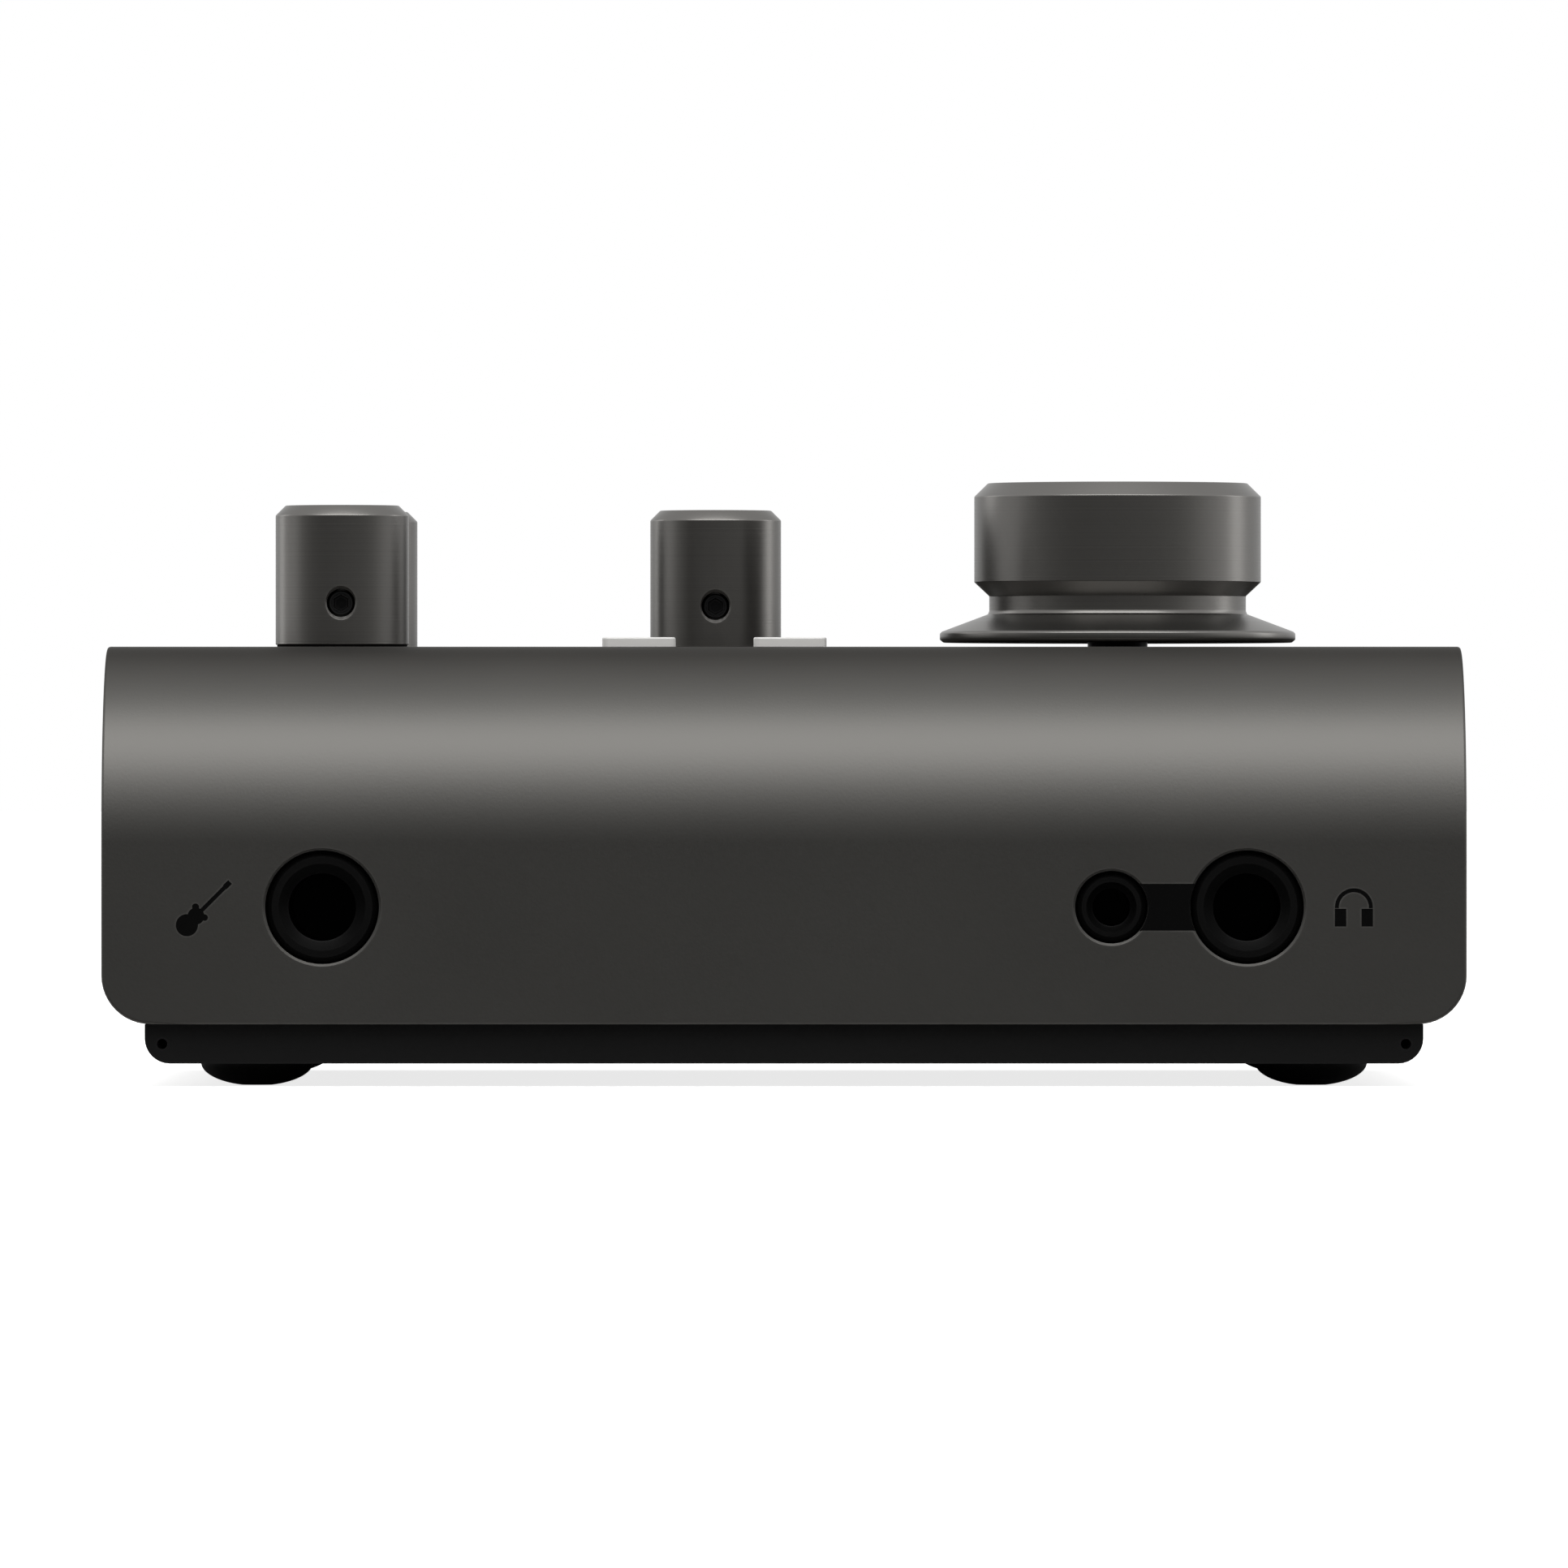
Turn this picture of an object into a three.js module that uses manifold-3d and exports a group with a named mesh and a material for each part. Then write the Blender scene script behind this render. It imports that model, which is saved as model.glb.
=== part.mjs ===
// Desktop audio interface: a bullnosed aluminium shell on a steel tray, with turned knobs, push buttons,
// front and rear sockets, and the two circuit boards that carry them.
// Millimetres. +X right, +Y to the rear, +Z up. The origin is on the table, under the middle of the shell.

import * as THREE from 'three';
import { mergeVertices } from 'three/addons/utils/BufferGeometryUtils.js';
import Module from 'manifold-3d';

// ---- Driving dimensions ----

// Overall box of the shell
const shellWidth = 133;
const shellDepth = 120;
const topPlane = 43;            // height of the shell's flat top above the table
const shellFoot = 6.1;          // height of the shell's lower edge
const shellWall = 2.5;
const bullnoseRadius = 19.2;    // front edge of the top
const lowerEdgeRadius = 4.75;   // curl of the side walls towards the tray
const topEdgeBreak = 0.4;       // broken edge between the top and the sides
const lowerLand = 4.5;          // how far the flat land under each side wall reaches inwards
const lowerLandHeight = 2.5;

// Fits
const seatGap = 0.3;            // between a piece and what it is seated or screwed on
const slideGap = 0.3;           // round a shaft, plunger or cap that moves
const touchGap = 0.05;          // under a soft foot pressed on its seat

// Base tray
const sheet = 1.2;
const trayBottom = 2.25;
const trayInset = 4.2;          // from the shell's side to the tray's side
const trayEndInset = 1.2;       // from the shell's front or rear to the tray's flange
const trayBendRadius = 2.45;
const reliefRadius = 0.8;       // relief hole where the bends meet

// Feet
const footRadius = 5.5;
const footFlatRadius = 1.5;     // small flat that the dome stands on
const footPegRadius = 1.8;
const footPegRise = 0.9;        // above the tray floor
const footInsetX = 14.8;        // from the shell's side
const footInsetY = 15;          // from the shell's front or rear

// Screws, all with 2.6 mm thread
const threadRadius = 1.3;
const panHeadRadius = 2.5;
const panHeadHeight = 1.6;
const flatHeadRadius = 2.7;
const flatHeadSink = 0.1;       // how far the flat head lies inside the tray
const baseScrewLength = 10;
const boardScrewLength = 6;
const panelScrewLength = 8;
const bossRadius = 3;

// Posts in the shell's corners that take the base screws
const postInsetX = 9;           // from the shell's side
const postInsetY = 8.5;         // from the shell's front or rear
const postTop = 30;
const postWeb = 2;

// Rear panel
const panelRecess = 3;          // from the shell's rear edge
const panelThickness = 1.2;
const panelBlock = [9.5, 10.5, 9];   // corner block for its screw: width, depth, height
const panelScrewInsetX = 8;     // from the shell's side
const panelScrewDrop = 8;       // from the top plane

// Boards
const boardThickness = 1.6;
const mainBoardBottom = 9.1;
const mainBoardInsetX = 13.5;   // from the shell's side
const mainBoardInsetFront = 8;  // from the shell's front
const mainScrewInsetX = 5;      // from the board's side
const mainScrewInsetY = 25.5;   // from the board's ends
const controlBoardBottom = 30.8;
const controlBoardInsetX = 13.5;
const controlBoardFront = -34;
const controlBoardRear = 31;
const controlBossInset = 4.5;   // from the board's edges

// Controls on the top, from the middle of the shell
const leftKnobInsetX = 22.7;    // from the shell's side
const frontKnobY = -24;
const rearKnobY = 24;
const mixKnobX = -6.9;
const mixKnobY = 14;
const volumeInsetX = 33.1;      // from the shell's side
const volumeY = -3.5;
const buttonPitch = 15;
const buttonY = -20;
const meterOffsetX = 14.8;      // from the left knobs

// Small knobs
const knobRadius = 6.6;
const knobHeight = 13.8;
const knobLift = 0.3;           // above the top plane
const knobChamfer = 1;
const knobBoreDepth = 11;
const setScrewHeight = 4.1;     // above the small knob's underside
const setScrewRadius = 1.25;
const setScrewLength = 2.3;
const setScrewHoleRadius = 1.45;

// Volume knob, heights from its underside
const volumeLift = 0.65;
const flangeRadius = 17.8;
const rimHeight = 1.05;
const coneTop = 2.9;
const neckRadius = 12.85;
const neckTop = 4.65;
const bodyRadius = 14.35;
const bodyStart = 6.05;
const bodyTop = 14.55;
const volumeHeight = 15.95;
const volumeTopRadius = 13.3;
const volumeRecessRadius = 11;
const volumeRecessDepth = 2.5;
const volumeBoreDepth = 12.5;
const volumeSetScrewHeight = 10.2;
const volumeSetScrewLength = 6;

// Shafts and what carries them
const shaftRadius = 3;
const bushWall = 1;
const bushDrop = 0.3;           // from the top plane to the bush's end
const potSize = 9.8;
const potHeight = 6.2;
const encoderSize = 12.5;
const encoderHeight = 5.5;
const encoderPlate = 1;
const rotorRadius = 4.6;
const rotorHeight = 2.5;
const pocketFloor = 1;          // left under a shaft's blind hole
const pushTravel = 0.5;
const pushReserve = 0.2;        // left under the shaft when it is pushed

// Push buttons
const capSize = 7.25;
const capCorner = 0.7;
const capRise = 1.05;           // above the top plane
const capGap = 0.25;
const capFlange = 1;            // how far the retaining flange reaches past the cap
const capFlangeThickness = 1.1;
const capFlangeGap = 0.4;       // below the shell's top wall
const capStemRadius = 2;
const switchSize = 6;
const switchHeight = 3.3;
const plungerRadius = 1.75;
const plungerRise = 1;          // above the switch body
const plungerDepth = 0.7;       // inside the switch body
const buttonTravel = 0.4;

// Level windows
const meterRows = 6;
const meterPitch = 6;
const meterColumnPitch = 5;
const windowRadius = 1.1;
const windowGap = 0.2;
const guideWidth = 9;
const guideMargin = 3;          // past the first and last windows

// Sockets
const jackHeight = 17.5;        // axis of the front jacks above the table
const bigNoseRadius = 5.3;
const bigBoreRadius = 3.3;
const bigBodySize = [15.5, 22, 13];     // width, depth, height
const smallNoseRadius = 3.3;
const smallBoreRadius = 1.85;
const smallBodySize = [8, 14, 11];
const noseGap = 0.25;
const noseRecess = 0.4;         // from the shell's front face, or past the rear panel
const instrumentInsetX = 21.5;  // from the shell's side
const headphoneInsetX = 21.4;
const headphonePitch = 13.2;
const micSocketInsetX = 28.5;
const micBodySize = [26, 22, 27];
const micCollarRadius = 12;
const micCollarReach = 2.4;     // past the rear panel
const micGrooveRadii = [7.8, 9.9];      // ring groove that takes the plug's shell
const micGrooveDepth = 11;
const micFaceRecess = 0.6;      // from the collar's end to the insert's face
const micPinRadius = 1.25;
const micPinCircle = 5.6;       // radius of the circle of contact holes
const micPinDepth = 9;
const boreFloor = 1.2;          // left behind a jack's bore
const lineOutX = [-4, 16];
const usbInsetX = 24.5;
const usbSize = [9, 7.5, 3.3];
const usbCorner = 1.4;
const usbWall = 0.35;
const usbTongue = [6.7, 0.7];   // width, height
const usbTongueRecess = 1;      // behind the mouth
const usbReach = 0.3;           // past the rear panel

// Parts on the boards: width, depth, height
const processorSize = [14, 14, 1.4];
const converterSize = [9, 9, 1.2];
const inductorSize = [7, 7, 4];
const capacitorRadius = 4;
const capacitorHeight = 9;
const linkSize = [24, 5];
const processorPlace = [-8, -12];
const converterPlace = [24, -16];
const inductorPlace = [36, 20];
const capacitorPlace = [-18, 14];
const linkPlace = [10, 14];

// Facets round a full turn
const fine = 48;
const middling = 20;
const coarse = 10;
const bullnoseSteps = 12;
const domeSteps = 8;

// How far a cut or a joined piece runs past the face it goes through
const past = 1;

// ---- Heights and places that follow ----

const sideX = shellWidth / 2;
const endY = shellDepth / 2;
const innerX = sideX - shellWall;
const ceiling = topPlane - shellWall;
const trayFloor = trayBottom + sheet;
const trayX = sideX - trayInset;
const trayY = endY - trayEndInset;
const panelOuterY = endY - panelRecess;
const panelInnerY = panelOuterY - panelThickness;
const mainBoardTop = mainBoardBottom + boardThickness;
const mainBoardX = sideX - mainBoardInsetX;
const mainBoardFront = -endY + mainBoardInsetFront;
const mainBoardRear = panelInnerY - 2 * seatGap;
const controlBoardTop = controlBoardBottom + boardThickness;
const controlBoardX = sideX - controlBoardInsetX;
const onMain = mainBoardTop + seatGap;
const onControl = controlBoardTop + seatGap;
const boreRadius = shaftRadius + slideGap;
const bushRadius = boreRadius + bushWall;
const leftKnobX = -sideX + leftKnobInsetX;
const volumeX = sideX - volumeInsetX;
const meterX = leftKnobX + meterOffsetX;
const buttonX = [mixKnobX - buttonPitch / 2, mixKnobX + buttonPitch / 2];
const instrumentX = -sideX + instrumentInsetX;
const headphoneX = sideX - headphoneInsetX;
const micX = -sideX + micSocketInsetX;
const micHeight = onMain + micBodySize[2] / 2;
const usbX = sideX - usbInsetX;
const usbHeight = onMain + usbSize[2] / 2;
const knobPlaces = {
  mic_gain: [leftKnobX, rearKnobY],
  instrument_gain: [leftKnobX, frontKnobY],
  monitor_mix: [mixKnobX, mixKnobY],
};

// Corner places are named front_left, front_right, rear_left and rear_right
function corners(x, y) {
  return {
    front_left: [-x, -y],
    front_right: [x, -y],
    rear_left: [-x, y],
    rear_right: [x, y],
  };
}

const footPlaces = corners(sideX - footInsetX, endY - footInsetY);
const postPlaces = corners(sideX - postInsetX, endY - postInsetY);
const mainScrewMiddle = (mainBoardFront + mainBoardRear) / 2;
const mainScrewY = (mainBoardRear - mainBoardFront) / 2 - mainScrewInsetY;
const mainScrewPlaces = corners(mainBoardX - mainScrewInsetX, mainScrewY);
for (const place of Object.values(mainScrewPlaces)) place[1] += mainScrewMiddle;
const controlScrewPlaces = {
  front_right: [controlBoardX - controlBossInset, controlBoardFront + controlBossInset],
  rear_right: [controlBoardX - controlBossInset, controlBoardRear - controlBossInset],
  rear_left: [(leftKnobX + mixKnobX) / 2, controlBoardRear - controlBossInset],
  middle_left: [-controlBoardX + controlBossInset, (frontKnobY + rearKnobY) / 2],
};

// ---- Materials ----

function material(color, roughness, metalness) {
  return new THREE.MeshStandardMaterial({ color, roughness, metalness });
}

const anodisedShell = material(0x4a4846, 0.45, 0.9);
const blackSteel = material(0x161616, 0.6, 0.3);
const rubber = material(0x0c0c0c, 0.85, 0);
const turnedAluminium = material(0x5c5a57, 0.35, 1);
const satinAluminium = material(0xc4c2be, 0.35, 1);
const plainSteel = material(0x8d8b87, 0.35, 1);
const blackScrew = material(0x1b1b1b, 0.4, 0.8);
const blackPlastic = material(0x0b0b0b, 0.5, 0);
const frostedPlastic = material(0xb9bcb8, 0.4, 0);
const boardLaminate = material(0x12251b, 0.6, 0);
const chipResin = material(0x151617, 0.6, 0);

// ---- Solid helpers ----

const wasm = await Module();
wasm.setup();

// A closed solid from a geometry's positions
function solid(geometry) {
  const bare = geometry.clone();
  bare.deleteAttribute('normal');
  bare.deleteAttribute('uv');
  const merged = mergeVertices(bare);
  const index = merged.index.array;
  const faces = [];
  for (let i = 0; i < index.length; i += 3) {
    const [a, b, c] = [index[i], index[i + 1], index[i + 2]];
    if (a !== b && b !== c && c !== a) faces.push(a, b, c);
  }
  return new wasm.Manifold(new wasm.Mesh({
    numProp: 3,
    vertProperties: new Float32Array(merged.attributes.position.array),
    triVerts: new Uint32Array(faces),
  }));
}

// A named mesh from a solid
function piece(name, body, look) {
  const { vertProperties, triVerts } = body.getMesh();
  const geometry = new THREE.BufferGeometry();
  geometry.setAttribute('position', new THREE.BufferAttribute(new Float32Array(vertProperties), 3));
  geometry.setIndex(new THREE.BufferAttribute(new Uint32Array(triVerts), 1));
  geometry.computeVertexNormals();
  const mesh = new THREE.Mesh(geometry, look);
  mesh.name = name;
  return mesh;
}

function placed(mesh, x, y, z) {
  mesh.position.set(x, y, z);
  return mesh;
}

// A block between two corners
function block([x0, y0, z0], [x1, y1, z1]) {
  const box = new THREE.BoxGeometry(x1 - x0, y1 - y0, z1 - z0);
  return solid(box.translate((x0 + x1) / 2, (y0 + y1) / 2, (z0 + z1) / 2));
}

// A block centred on x and y, standing on z
function slab([width, depth, height], x = 0, y = 0, z = 0) {
  return block([x - width / 2, y - depth / 2, z], [x + width / 2, y + depth / 2, z + height]);
}

// A solid turned about Z from a profile of [radius, height] points, from its lower end to its upper end
function turned(profile, facets) {
  const points = profile.map(([radius, height]) => new THREE.Vector2(radius, height));
  return solid(new THREE.LatheGeometry(points, facets).rotateX(Math.PI / 2));
}

// A round bar along Z between two heights
function bar(radius, low, high, x = 0, y = 0, facets = middling) {
  return turned([[0, low], [radius, low], [radius, high], [0, high]], facets).translate([x, y, 0]);
}

// A round bar along Y between two depths
function barAlongY(radius, low, high, x, z, facets = middling) {
  const upright = turned([[0, -high], [radius, -high], [radius, -low], [0, -low]], facets);
  return upright.rotate([90, 0, 0]).translate([x, 0, z]);
}

function extruded(shape, length, arcSteps = 8) {
  return new THREE.ExtrudeGeometry(shape, { depth: length, bevelEnabled: false, curveSegments: arcSteps });
}

// A shape in X and Z, extruded along Y between two depths
function alongY(shape, low, high, arcSteps) {
  return solid(extruded(shape, high - low, arcSteps).rotateX(Math.PI / 2).translate(0, high, 0));
}

// A shape in Y and Z, extruded along X on both sides of the middle
function alongX(shape, halfWidth, arcSteps) {
  const turn = new THREE.Matrix4().makeBasis(
    new THREE.Vector3(0, 1, 0),
    new THREE.Vector3(0, 0, 1),
    new THREE.Vector3(1, 0, 0),
  );
  return solid(extruded(shape, 2 * halfWidth, arcSteps).applyMatrix4(turn).translate(-halfWidth, 0, 0));
}

// A shape in X and Y, extruded upwards
function alongZ(shape, low, high, arcSteps) {
  return solid(extruded(shape, high - low, arcSteps).translate(0, 0, low));
}

function roundedRectangle(width, height, radius, cx = 0, cy = 0) {
  const [x, y] = [cx - width / 2, cy - height / 2];
  const shape = new THREE.Shape();
  shape.moveTo(x + radius, y);
  shape.lineTo(x + width - radius, y);
  shape.absarc(x + width - radius, y + radius, radius, -Math.PI / 2, 0, false);
  shape.lineTo(x + width, y + height - radius);
  shape.absarc(x + width - radius, y + height - radius, radius, 0, Math.PI / 2, false);
  shape.lineTo(x + radius, y + height);
  shape.absarc(x + radius, y + height - radius, radius, Math.PI / 2, Math.PI, false);
  shape.lineTo(x, y + radius);
  shape.absarc(x + radius, y + radius, radius, Math.PI, 1.5 * Math.PI, false);
  return shape;
}

function joined(parts) {
  return parts.reduce((whole, part) => whole.add(part));
}

function without(whole, cuts) {
  return cuts.reduce((rest, cut) => rest.subtract(cut), whole);
}

// ---- Enclosure ----

// Side view of the shell: upright front, bullnose, flat top. The inset gives the inner surface.
function sideOutline(inset, rear, low) {
  const front = -endY + inset;
  const top = topPlane - inset;
  const centreY = -endY + bullnoseRadius;
  const centreZ = topPlane - bullnoseRadius;
  const shape = new THREE.Shape();
  shape.moveTo(rear, low);
  shape.lineTo(rear, top);
  shape.lineTo(centreY, top);
  shape.absarc(centreY, centreZ, bullnoseRadius - inset, Math.PI / 2, Math.PI, false);
  shape.lineTo(front, low);
  return shape;
}

// Front view of the shell: sharp upper edges and curled lower edges
function frontOutline() {
  const curl = lowerEdgeRadius;
  const shape = new THREE.Shape();
  shape.moveTo(-sideX + curl, shellFoot);
  shape.lineTo(sideX - curl, shellFoot);
  shape.absarc(sideX - curl, shellFoot + curl, curl, -Math.PI / 2, 0, false);
  shape.lineTo(sideX, topPlane - topEdgeBreak);
  shape.lineTo(sideX - topEdgeBreak, topPlane);
  shape.lineTo(-sideX + topEdgeBreak, topPlane);
  shape.lineTo(-sideX, topPlane - topEdgeBreak);
  shape.lineTo(-sideX, shellFoot + curl);
  shape.absarc(-sideX + curl, shellFoot + curl, curl, Math.PI, 1.5 * Math.PI, false);
  return shape;
}

function topShell() {
  const outer = alongX(sideOutline(0, endY, shellFoot), sideX, bullnoseSteps)
    .intersect(alongY(frontOutline(), -endY, endY));
  const landX = innerX - lowerLand;
  const hollow = alongX(sideOutline(shellWall, endY + past, shellFoot - past), innerX, bullnoseSteps);
  const lands = [-1, 1].map((side) => block(
    [Math.min(side * landX, side * sideX), -endY, shellFoot - past],
    [Math.max(side * landX, side * sideX), endY + past, shellFoot + lowerLandHeight],
  ));
  const walls = outer.subtract(without(hollow, lands));
  const posts = Object.values(postPlaces).flatMap(([x, y]) => [
    bar(bossRadius, trayFloor + seatGap, postTop, x, y),
    block([Math.min(x, Math.sign(x) * (innerX + past)), y - postWeb / 2, shellFoot + lowerLandHeight],
      [Math.max(x, Math.sign(x) * (innerX + past)), y + postWeb / 2, postTop]),
  ]);
  const hangers = Object.values(controlScrewPlaces).map(([x, y]) => (
    bar(bossRadius, controlBoardTop + seatGap, ceiling + past, x, y)
  ));
  const [blockWidth, blockDepth, blockHeight] = panelBlock;
  const blocks = [-1, 1].map((side) => block(
    [side > 0 ? innerX + past - blockWidth : -innerX - past, panelInnerY - seatGap - blockDepth,
      ceiling + past - blockHeight],
    [side > 0 ? innerX + past : -innerX - past + blockWidth, panelInnerY - seatGap, ceiling + past],
  ));
  const threadHole = threadRadius + slideGap;
  const postHoles = Object.values(postPlaces).map(([x, y]) => (
    bar(threadHole, trayFloor, trayFloor + baseScrewLength + past, x, y, coarse)
  ));
  const hangerHoles = Object.values(controlScrewPlaces).map(([x, y]) => (
    bar(threadHole, controlBoardTop, controlBoardBottom + boardScrewLength + past, x, y, coarse)
  ));
  const blockHoles = [-1, 1].map((side) => (
    barAlongY(threadHole, panelInnerY - panelScrewLength, panelInnerY, side * (sideX - panelScrewInsetX),
      topPlane - panelScrewDrop, coarse)
  ));
  const shaftHoles = [...Object.values(knobPlaces), [volumeX, volumeY]].map(([x, y]) => (
    bar(bushRadius + slideGap, ceiling - past, topPlane + past, x, y)
  ));
  const capHoles = buttonX.map((x) => {
    const size = capSize + 2 * capGap;
    return alongZ(roundedRectangle(size, size, capCorner + capGap, x, buttonY), ceiling - past,
      topPlane + past, 3);
  });
  const windows = windowPlaces().map(([x, y]) => (
    bar(windowRadius + windowGap, ceiling - past, topPlane + past, x, y, coarse)
  ));
  const frontHoles = [
    [instrumentX, bigNoseRadius], [headphoneX, bigNoseRadius], [headphoneX - headphonePitch, smallNoseRadius],
  ].map(([x, radius]) => (
    barAlongY(radius + noseGap, -endY - past, -endY + shellWall + past, x, jackHeight)
  ));
  const body = joined([walls, ...posts, ...hangers, ...blocks]);
  return piece('top_shell', without(body, [
    ...postHoles, ...hangerHoles, ...blockHoles, ...shaftHoles, ...capHoles, ...windows, ...frontHoles,
  ]), anodisedShell);
}

// Folded tray: floor, two side flanges with rounded bends, and a front and a rear flange
function baseTray() {
  const flangeTop = shellFoot - seatGap;
  const outer = new THREE.Shape();
  outer.moveTo(-trayX + trayBendRadius, trayBottom);
  outer.lineTo(trayX - trayBendRadius, trayBottom);
  outer.absarc(trayX - trayBendRadius, trayBottom + trayBendRadius, trayBendRadius, -Math.PI / 2, 0, false);
  outer.lineTo(trayX, flangeTop);
  outer.lineTo(-trayX, flangeTop);
  outer.absarc(-trayX + trayBendRadius, trayBottom + trayBendRadius, trayBendRadius, Math.PI, 1.5 * Math.PI,
    false);
  const body = alongY(outer, -trayY, trayY, 6);
  const hollow = block([-trayX + sheet, -trayY + sheet, trayFloor], [trayX - sheet, trayY - sheet,
    shellFoot + past]);
  const standoffs = Object.values(mainScrewPlaces).map(([x, y]) => (
    bar(bossRadius, trayFloor - sheet / 2, mainBoardBottom - seatGap, x, y)
  ));
  const standoffHoles = Object.values(mainScrewPlaces).map(([x, y]) => (
    bar(threadRadius + slideGap, onMain - boardScrewLength - seatGap, mainBoardBottom, x, y, coarse)
  ));
  const pegHoles = Object.values(footPlaces).map(([x, y]) => (
    bar(footPegRadius + slideGap, trayBottom - past, trayFloor + past, x, y, coarse)
  ));
  const headLow = flatHeadRadius + slideGap + past;
  const countersinks = Object.values(postPlaces).map(([x, y]) => turned([
    [0, trayBottom - past],
    [headLow + flatHeadSink, trayBottom - past],
    [headLow + flatHeadSink - past - sheet, trayFloor],
    [headLow + flatHeadSink - past - sheet, trayFloor + past],
    [0, trayFloor + past],
  ], middling).translate([x, y, 0]));
  const reliefX = trayX - sheet - reliefRadius / 2;
  const reliefZ = (trayBottom + flangeTop) / 2;
  const reliefs = [-1, 1].flatMap((side) => [-1, 1].map((end) => (
    barAlongY(reliefRadius, Math.min(end * (trayY - 2 * sheet), end * (trayY + past)),
      Math.max(end * (trayY - 2 * sheet), end * (trayY + past)), side * reliefX, reliefZ, coarse)
  )));
  const shell = joined([body.subtract(hollow), ...standoffs]);
  return piece('base_tray', without(shell, [...standoffHoles, ...pegHoles, ...countersinks, ...reliefs]),
    blackSteel);
}

// Steel plate across the open rear: full width above the shell's lands, narrower inside the tray
function rearPanel() {
  const wideX = innerX - seatGap;
  const narrowX = innerX - lowerLand - seatGap;
  const stepZ = shellFoot + lowerLandHeight + seatGap;
  const shape = new THREE.Shape();
  const half = [[narrowX, trayFloor + seatGap], [narrowX, stepZ], [wideX, stepZ],
    [wideX, ceiling - seatGap]];
  const outline = [...half, ...half.map(([x, z]) => [-x, z]).reverse()];
  shape.setFromPoints(outline.map(([x, z]) => new THREE.Vector2(x, z)));
  const plate = alongY(shape, panelInnerY, panelOuterY);
  const through = [panelInnerY - past, panelOuterY + past];
  const usbHole = roundedRectangle(usbSize[0] + 2 * seatGap, usbSize[2] + 2 * seatGap, usbCorner + seatGap,
    usbX, usbHeight);
  return piece('rear_panel', without(plate, [
    barAlongY(micCollarRadius + noseGap, ...through, micX, micHeight, fine),
    ...lineOutX.map((x) => barAlongY(bigNoseRadius + noseGap, ...through, x, jackHeight)),
    ...[-1, 1].map((side) => barAlongY(threadRadius + slideGap, ...through, side * (sideX - panelScrewInsetX),
      topPlane - panelScrewDrop, coarse)),
    alongY(usbHole, ...through, 4),
  ]), blackSteel);
}

// Rubber foot with a half-elliptic dome and a peg through the tray
function foot(name, [x, y]) {
  const top = trayBottom - touchGap;
  const start = Math.asin(footFlatRadius / footRadius);
  const profile = [[0, 0]];
  for (let step = 0; step <= domeSteps; step += 1) {
    const angle = start + (step / domeSteps) * (Math.PI / 2 - start);
    profile.push([footRadius * Math.sin(angle), top * (1 - Math.cos(angle) / Math.cos(start))]);
  }
  profile.push([footPegRadius, top], [footPegRadius, trayFloor + footPegRise],
    [0, trayFloor + footPegRise]);
  return placed(piece(`foot_${name}`, turned(profile, middling), rubber), x, y, 0);
}

// Pan head screw along +Z from the underside of its head, head below
function panScrew(name, length, look) {
  return piece(name, turned([
    [0, -panHeadHeight], [panHeadRadius, -panHeadHeight], [panHeadRadius, 0], [threadRadius, 0],
    [threadRadius, length], [0, length],
  ], coarse), look);
}

// Flat head screw from the underside of the tray into a corner post
function baseScrew(name, [x, y]) {
  const low = trayBottom + flatHeadSink;
  const headHeight = flatHeadRadius - threadRadius;
  return placed(piece(`base_screw_${name}`, turned([
    [0, low], [flatHeadRadius, low], [threadRadius, low + headHeight], [threadRadius, low + baseScrewLength],
    [0, low + baseScrewLength],
  ], coarse), blackScrew), x, y, 0);
}

function enclosure() {
  const group = new THREE.Group();
  group.add(topShell(), baseTray(), rearPanel());
  for (const [name, place] of Object.entries(footPlaces)) group.add(foot(name, place));
  for (const [name, place] of Object.entries(postPlaces)) group.add(baseScrew(name, place));
  for (const [name, side] of [['left', -1], ['right', 1]]) {
    const screw = panScrew(`panel_screw_${name}`, panelScrewLength, blackScrew);
    screw.rotation.x = Math.PI / 2;
    group.add(placed(screw, side * (sideX - panelScrewInsetX), panelOuterY + seatGap,
      topPlane - panelScrewDrop));
  }
  return group;
}

// ---- Boards ----

function mainBoard() {
  const board = block([-mainBoardX, mainBoardFront, mainBoardBottom], [mainBoardX, mainBoardRear,
    mainBoardTop]);
  const holes = Object.values(mainScrewPlaces).map(([x, y]) => (
    bar(threadRadius + slideGap, mainBoardBottom - past, mainBoardTop + past, x, y, coarse)
  ));
  return piece('main_board', without(board, holes), boardLaminate);
}

function controlBoard() {
  const board = block([-controlBoardX, controlBoardFront, controlBoardBottom], [controlBoardX,
    controlBoardRear, controlBoardTop]);
  const holes = Object.values(controlScrewPlaces).map(([x, y]) => (
    bar(threadRadius + slideGap, controlBoardBottom - past, controlBoardTop + past, x, y, coarse)
  ));
  return piece('control_board', without(board, holes), boardLaminate);
}

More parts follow.
